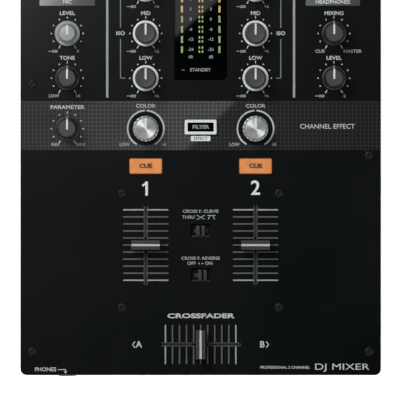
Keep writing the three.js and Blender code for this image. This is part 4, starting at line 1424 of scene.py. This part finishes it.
class MIXER_OT_rear_jacks(bpy.types.Operator):
    """Makes the jacks, the port, the mains inlet and the power button of the rear face"""

    bl_idname = "mixer.rear_jacks"
    bl_label = "Rear jacks"

    def execute(self, context):
        self.balanced("balanced_output_left")
        self.balanced("balanced_output_right")
        self.microphone()
        for name, columns in (
            ("phono_jacks_channel_1", 2), ("phono_jacks_channel_2", 2),
            ("phono_jacks_aux", 1), ("phono_jacks_outputs", 2),
        ):
            self.phono(name, columns)
        self.usb()
        self.ground()
        self.inlet()
        self.power()
        return {"FINISHED"}

    def outward(self, obj, node, sunk=0.0):
        """Turns what was modelled along Z to face the rear, with height 0 at a node's rear end."""
        at = middle(node)
        return settle(obj, (at.x, rear(node) - sunk, at.z), TO_REAR)

    def shell(self, name):
        """The flange and barrel of a balanced jack, with its mouth at height 0."""
        flange = round_uprights(box(name, (26, 31, 2), (0, 0, -1)), 2.0, 5)
        barrel = turned("barrel", [(11.5, -22.3), (11.5, -1.0)], sides=72)
        shell = boolean(flange, barrel, "UNION")
        groove = ring("cutter", [(10.2, -0.5), (10.9, -0.5), (10.9, 1), (10.2, 1)], sides=72)
        return boolean(shell, groove)

    def balanced(self, node):
        shell = self.shell(f"{node}_shell")
        well = turned("cutter", [(8, -14), (8, -0.5), (8.5, 0.01), (8.5, 1)], sides=72)
        key = box("cutter", (2.6, 1.6, 20), (0, -8.2, -2))
        boolean(boolean(shell, well), key)
        soften(self.outward(shell, node), 0.25, 2, 50)
        stand_in(shell, "moulded_nylon", "black_jack", node)
        pin = turned("pin", [(1.2, -14.3), (1.2, -6.5), (1.05, -5.9), (0.6, -5.5)], sides=20)
        pins = [copied(pin, "pin", (x, y, 0)) for x, y in ((-3.8, -2.2), (3.8, -2.2), (0, 4.4))]
        drop(pin)
        pins = self.outward(merged(f"{node}_pins", pins), node)
        piece(pins, "gold_plate", "bright_nickel", node)

    def microphone(self):
        node = "microphone_jack"
        shell = self.shell("microphone_jack_shell")
        tools = [turned("cutter", [(9.6, 1), (9.6, -12), (7.6, -12), (7.6, -1)], sides=72)]
        bore = [(3.4, -21), (3.4, -1.6), (4.0, -1.0), (4.0, 1)]
        tools.append(turned("cutter", bore, sides=40))
        for x, y in ((-4.9, -2.9), (4.9, -2.9), (0, 5.7)):
            tools.append(turned("cutter", [(1.3, -10), (1.3, 1)], (x, y, 0), 20))
        for tool in tools:
            boolean(shell, tool)
        soften(self.outward(shell, node), 0.2, 2, 50)
        stand_in(shell, "moulded_nylon", "black_jack", node)
        latch = box("microphone_jack_latch", (7.5, 2.8, 0.9), (0, -13.4, 0.4))
        latch = self.outward(soften(round_uprights(latch, 0.8, 4), 0.2, 2), node)
        piece(latch, "nickel_plate", "bright_nickel", node)

    def phono(self, node, columns):
        at = middle(node)
        housing = box(f"{node}_housing", (14 * columns, 14, 26), (at.x, REAR_Y - 8.5, at.z))
        stand_in(soften(housing, 0.6, 2), "moulded_nylon", "black_jack", node)
        section = [(3.6, -10.4), (4.15, -10.4), (4.15, -0.2), (4.0, 0.0), (3.75, 0.0), (3.6, -0.2)]
        sleeve = ring("sleeve", section, sides=36)
        outline = [(1.6, -8), (1.6, -0.8), (1.8, -0.6), (3.4, -0.6), (3.5, -0.7), (3.5, -10.4)]
        insert = turned("insert", outline, sides=32)
        section = [(4.25, -8.9), (5.4, -8.9), (5.5, -8.7), (5.5, -8.0), (5.2, -7.7), (4.25, -7.7)]
        collar = ring("collar", section, sides=36)
        kinds = {"sleeves": [], "white": [], "red": []}
        for column in range(columns):
            x = (column - (columns - 1) / 2) * 14
            for side, colour in ((-1, "red"), (1, "white")):
                place = (x, -side * 7, 0)
                kinds["sleeves"].append(copied(sleeve, "sleeve", place))
                kinds[colour] += [copied(insert, "insert", place), copied(collar, "collar", place)]
        drop(sleeve, insert, collar)
        finishes = {
            "sleeves": ("nickel_plate", "bright_nickel"),
            "white": ("white_insulator", "black_jack"),
            "red": ("red_insulator", "black_jack"),
        }
        for kind, parts in kinds.items():
            made = self.outward(merged(f"{node}_{kind}", parts), node)
            piece(made, *finishes[kind], node)

    def usb(self):
        node = "usb_port"
        shell = box("usb_port_shell", (12, 11, 18), (0, 0, -9))
        bevel(shell, 1.6, 1, lambda at, along: abs(along.z) > 0.9 and at.y < 0)
        boolean(shell, box("cutter", (8.6, 7.8, 10), (0, 0, -4)))
        shell = self.outward(soften(shell, 0.2, 2, 25), node)
        stand_in(shell, "nickel_plate", "bright_nickel", node)
        tongue = soften(box("usb_port_tongue", (5.6, 3.2, 7.2), (0, 0, -5.5)), 0.25, 2)
        tongue = self.outward(tongue, node)
        piece(tongue, "white_insulator", "black_jack", node)

    def ground(self):
        node = "ground_screw"
        outline = [(1.8, -15.4), (1.8, -7.6), (3.4, -7.6), (3.4, -6.7), (4.3, -6.7), (4.55, -6.4)]
        outline += [(4.55, -0.6), (4.3, -0.3), (3.0, -0.3), (2.7, 0.0), (1.0, 0.0)]
        screw = turned("ground_thumb_screw", outline, sides=96)
        flute(screw, 96, 24, 0.08, -6.5, -0.5)
        boolean(screw, box("cutter", (7, 0.9, 1.6), (0, 0, 0)))
        screw = self.outward(screw, node)
        stand_in(screw, "nickel_plate", "bright_nickel", node, angle=28)
        section = [(2.5, -7.3), (5.2, -7.3), (5.3, -7.0), (5.2, -6.75), (2.5, -6.75)]
        washer = ring("ground_washer", section)
        piece(self.outward(washer, node), "nickel_plate", "bright_nickel", node)

    def inlet(self):
        node = "mains_inlet"
        flange = round_uprights(box("mains_inlet_shell", (50, 23, 2), (0, 0, -1)), 4, 6)
        shell = boolean(flange, box("body", (27.4, 19.6, 21), (0, 0, -11.4)), "UNION")
        well = box("cutter", (24.2, 16.2, 15), (0, 0, -6.5))
        bevel(well, 4.2, 1, lambda at, along: abs(along.z) > 0.9 and at.y < 0)
        boolean(shell, well)
        shell = self.outward(soften(shell, 0.35, 3, 25), node)
        stand_in(shell, "moulded_nylon", "black_jack", node)
        places = ((-7, 2.5), (7, 2.5), (0, -1.5))
        blades = [soften(box("blade", (2, 4, 10.3), (x, y, -9.2)), 0.35, 2) for x, y in places]
        blades = self.outward(merged("mains_inlet_blades", blades), node)
        piece(blades, "nickel_plate", "bright_nickel", node)

    def power(self):
        node = "power_button"
        outline = [(7.5, -7.0), (7.5, -5.2), (6.15, -5.2), (6.15, -0.9)]
        outline += quarter(5.35, -0.8, 0.8, 0, 90)
        outline += [(5.0, -0.08), (4.2, -0.35), (2.0, -0.5), (0.8, -0.5)]
        key = self.outward(turned("power_button_cap", outline, sides=72), node)
        stand_in(key, "moulded_abs", "black_jack", node)
        mark = ring("power_mark", [(1.75, 0), (2.15, 0), (2.15, 0.12), (1.75, 0.12)], sides=40)
        boolean(mark, box("cutter", (1.3, 2.4, 1), (0, -2, 0)))
        stroke = box("stroke", (0.42, 2.0, 0.12), (0, -1.7, 0.06))
        mark = self.outward(merged("power_mark", [mark, stroke]), node, 0.46)
        piece(mark, "pointer_ink", "black_jack", node)


class MIXER_OT_edge_legends(bpy.types.Operator):
    """Prints the names of the jacks on the front and rear faces"""

    bl_idname = "mixer.edge_legends"
    bl_label = "Jack names"

    def execute(self, context):
        behind = REAR_Y + PRINT / 2
        rows = [
            ("MASTER OUT", 23, 83.5, 2.6), ("L", 8, 41.5, 2.4), ("R", 38, 41.5, 2.4),
            ("MIC", -90, 83.5, 2.6), ("USB", -60, 73.5, 2.4), ("GROUND", -38, 73.5, 2.4),
            ("POWER", 74, 74.5, 2.4), ("AC IN", 78, 43.0, 2.6),
            ("CH 1", -84, 10.8, 2.2), ("CH 2", -50, 10.8, 2.2), ("AUX", -22, 10.8, 2.2),
            ("MASTER", 15, 10.8, 2.2), ("BOOTH", 0.5, 10.8, 2.2),
        ]
        for x in (-84, -50):
            rows += [("PHONO", x + 7, 43.5, 1.9), ("LINE", x - 7, 43.5, 1.9)]
        for x in (-98.2, -64.5, -30.5, -6.5):
            rows += [("L", x, 34, 1.9), ("R", x, 20, 1.9)]
        words = [
            lettering(text, (x, behind, z), tall, turn=(math.pi / 2, 0, math.pi), weight=0.02)
            for text, x, z, tall in rows
        ]
        piece(merged("rear_words", words), "bright_screen_ink", "case_paint", angle=20)
        place = (-76, FRONT_Y - PRINT / 2, 66.5)
        word = lettering("PHONES", place, 2.6, turn=(math.pi / 2, 0, 0), weight=0.02)
        piece(merged("front_words", [word]), "bright_screen_ink", "case_paint", angle=20)
        return {"FINISHED"}


class MIXER_OT_inner_parts(bpy.types.Operator):
    """Gives the parts of the frame that stay as they are their finishes"""

    bl_idname = "mixer.inner_parts"
    bl_label = "Inner parts"

    def execute(self, context):
        finishes = {
            "powder_coat": ["rear_panel"],
            "glass_epoxy": ["control_board", "main_board"],
            "zinc_sheet": [
                "power_supply", "fader_bracket", "crossfader_body",
                "channel_fader_body_1", "channel_fader_body_2",
            ],
            "black_screw_steel": [
                "crossfader_lever", "channel_fader_lever_1", "channel_fader_lever_2",
            ],
        }
        for material, names in finishes.items():
            for name in names:
                materials = frame["nodes"][name].data.materials
                materials.clear()
                materials.append(stock(material))
        return {"FINISHED"}


# ---- stage ------------------------------------------------------------------------------


class MIXER_OT_stage(bpy.types.Operator):
    """Sets the pale floor, the soft lights and the camera"""

    bl_idname = "mixer.stage"
    bl_label = "Stage"

    def execute(self, context):
        bpy.ops.object.select_all(action="DESELECT")
        bpy.ops.mesh.primitive_plane_add(size=7.0, location=(0, 0, -0.0002))
        floor = settle(fresh("floor"))
        floor.data.materials.append(studio_paper())

        # The lights stand between the main bearings, so that few views mirror them in the gloss.
        centre = (0, 0, 0.09)
        self.panel_light("key_light", (-1.29, 1.47, 2.88), (1.4, 1.1), 132, centre)
        self.panel_light("fill_light", (2.35, -0.97, 2.4), (1.5, 1.1), 58, centre)
        self.panel_light("front_light", (-1.0, -2.41, 1.9), (1.5, 0.9), 42, centre)
        # A dim card far above; its lower edge slants across the gloss of the meter window.
        self.panel_light("overhead_card", (-0.4, 0.6, 3.1), (1.25, 1.25), 4.5, (-0.4, 0.6, 0), 0.71)
        # A small low card beyond the rear left corner gives the paint there its soft sheen.
        self.panel_light("corner_card", (-0.2, 0.165, 0.6), (0.14, 0.14), 0.55, (-0.2, 0.165, 0))

        world = bpy.data.worlds.new("studio")
        world.use_nodes = True
        tree = world.node_tree
        # White walls round the floor, under a dark ceiling that keeps gloss off the panel.
        direction = add_node(tree, "TexCoord", {}, "Generated")
        up = add_node(tree, "SeparateXYZ", {"Vector": direction}, "Z")
        stops = [(0.0, "ececec"), (0.12, "d4d4d4"), (0.35, "4a4a4a"), (0.7, "050505")]
        sky = add_node(tree, "ValToRGB", {"Fac": up}, stops=stops)
        tree.links.new(sky, tree.nodes["Background"].inputs["Color"])
        context.scene.world = world
        context.scene.view_settings.view_transform = "Standard"

        # A long lens high above looks straight down, so that the panel shows almost flat.
        camera = bpy.data.cameras.new("camera")
        camera.sensor_width = 36
        camera.lens = 1016.4
        camera.clip_end = 30
        holder = bpy.data.objects.new("camera", camera)
        context.scene.collection.objects.link(holder)
        holder.location = (-0.0004, -0.0473, PANEL_Z * MM + 7.2)
        context.scene.camera = holder
        return {"FINISHED"}

    def panel_light(self, name, place, size, power, aim, roll=0.0):
        """A rectangular soft light that faces a point."""
        light = bpy.data.lights.new(name, "AREA")
        light.shape = "RECTANGLE"
        light.size, light.size_y = size
        light.energy = power
        holder = bpy.data.objects.new(name, light)
        bpy.context.scene.collection.objects.link(holder)
        holder.location = place
        facing = (Vector(aim) - Vector(place)).to_track_quat("-Z", "Y").to_matrix()
        holder.rotation_euler = (facing @ Matrix.Rotation(roll, 3, "Z")).to_euler()


# ---- add-on -----------------------------------------------------------------------------

STEPS = (
    MIXER_OT_case,
    MIXER_OT_top_panel,
    MIXER_OT_legends,
    MIXER_OT_meter,
    MIXER_OT_knobs,
    MIXER_OT_buttons,
    MIXER_OT_switches,
    MIXER_OT_faders,
    MIXER_OT_screws,
    MIXER_OT_feet,
    MIXER_OT_front_jacks,
    MIXER_OT_rear_jacks,
    MIXER_OT_edge_legends,
    MIXER_OT_inner_parts,
    MIXER_OT_stage,
)


class MIXER_PT_sidebar(bpy.types.Panel):
    """Lists the sizes, the colours and the steps that make the mixer"""

    bl_idname = "MIXER_PT_sidebar"
    bl_label = "DJ Mixer"
    bl_space_type = "VIEW_3D"
    bl_region_type = "UI"
    bl_category = "DJ Mixer"

    def draw(self, context):
        for group in (context.scene.mixer_sizes, context.scene.mixer_colours):
            column = self.layout.column()
            for name in group.__annotations__:
                column.prop(group, name)
        column = self.layout.column()
        for step in STEPS:
            column.operator(step.bl_idname)


CLASSES = (MixerSizes, MixerColours, *STEPS, MIXER_PT_sidebar)


def register():
    for cls in CLASSES:
        bpy.utils.register_class(cls)
    bpy.types.Scene.mixer_sizes = PointerProperty(type=MixerSizes)
    bpy.types.Scene.mixer_colours = PointerProperty(type=MixerColours)


def unregister():
    del bpy.types.Scene.mixer_colours
    del bpy.types.Scene.mixer_sizes
    for cls in reversed(CLASSES):
        bpy.utils.unregister_class(cls)


def main():
    register()
    for step in STEPS:
        family, name = step.bl_idname.split(".")
        getattr(getattr(bpy.ops, family), name)()


if __name__ == "__main__":
    main()
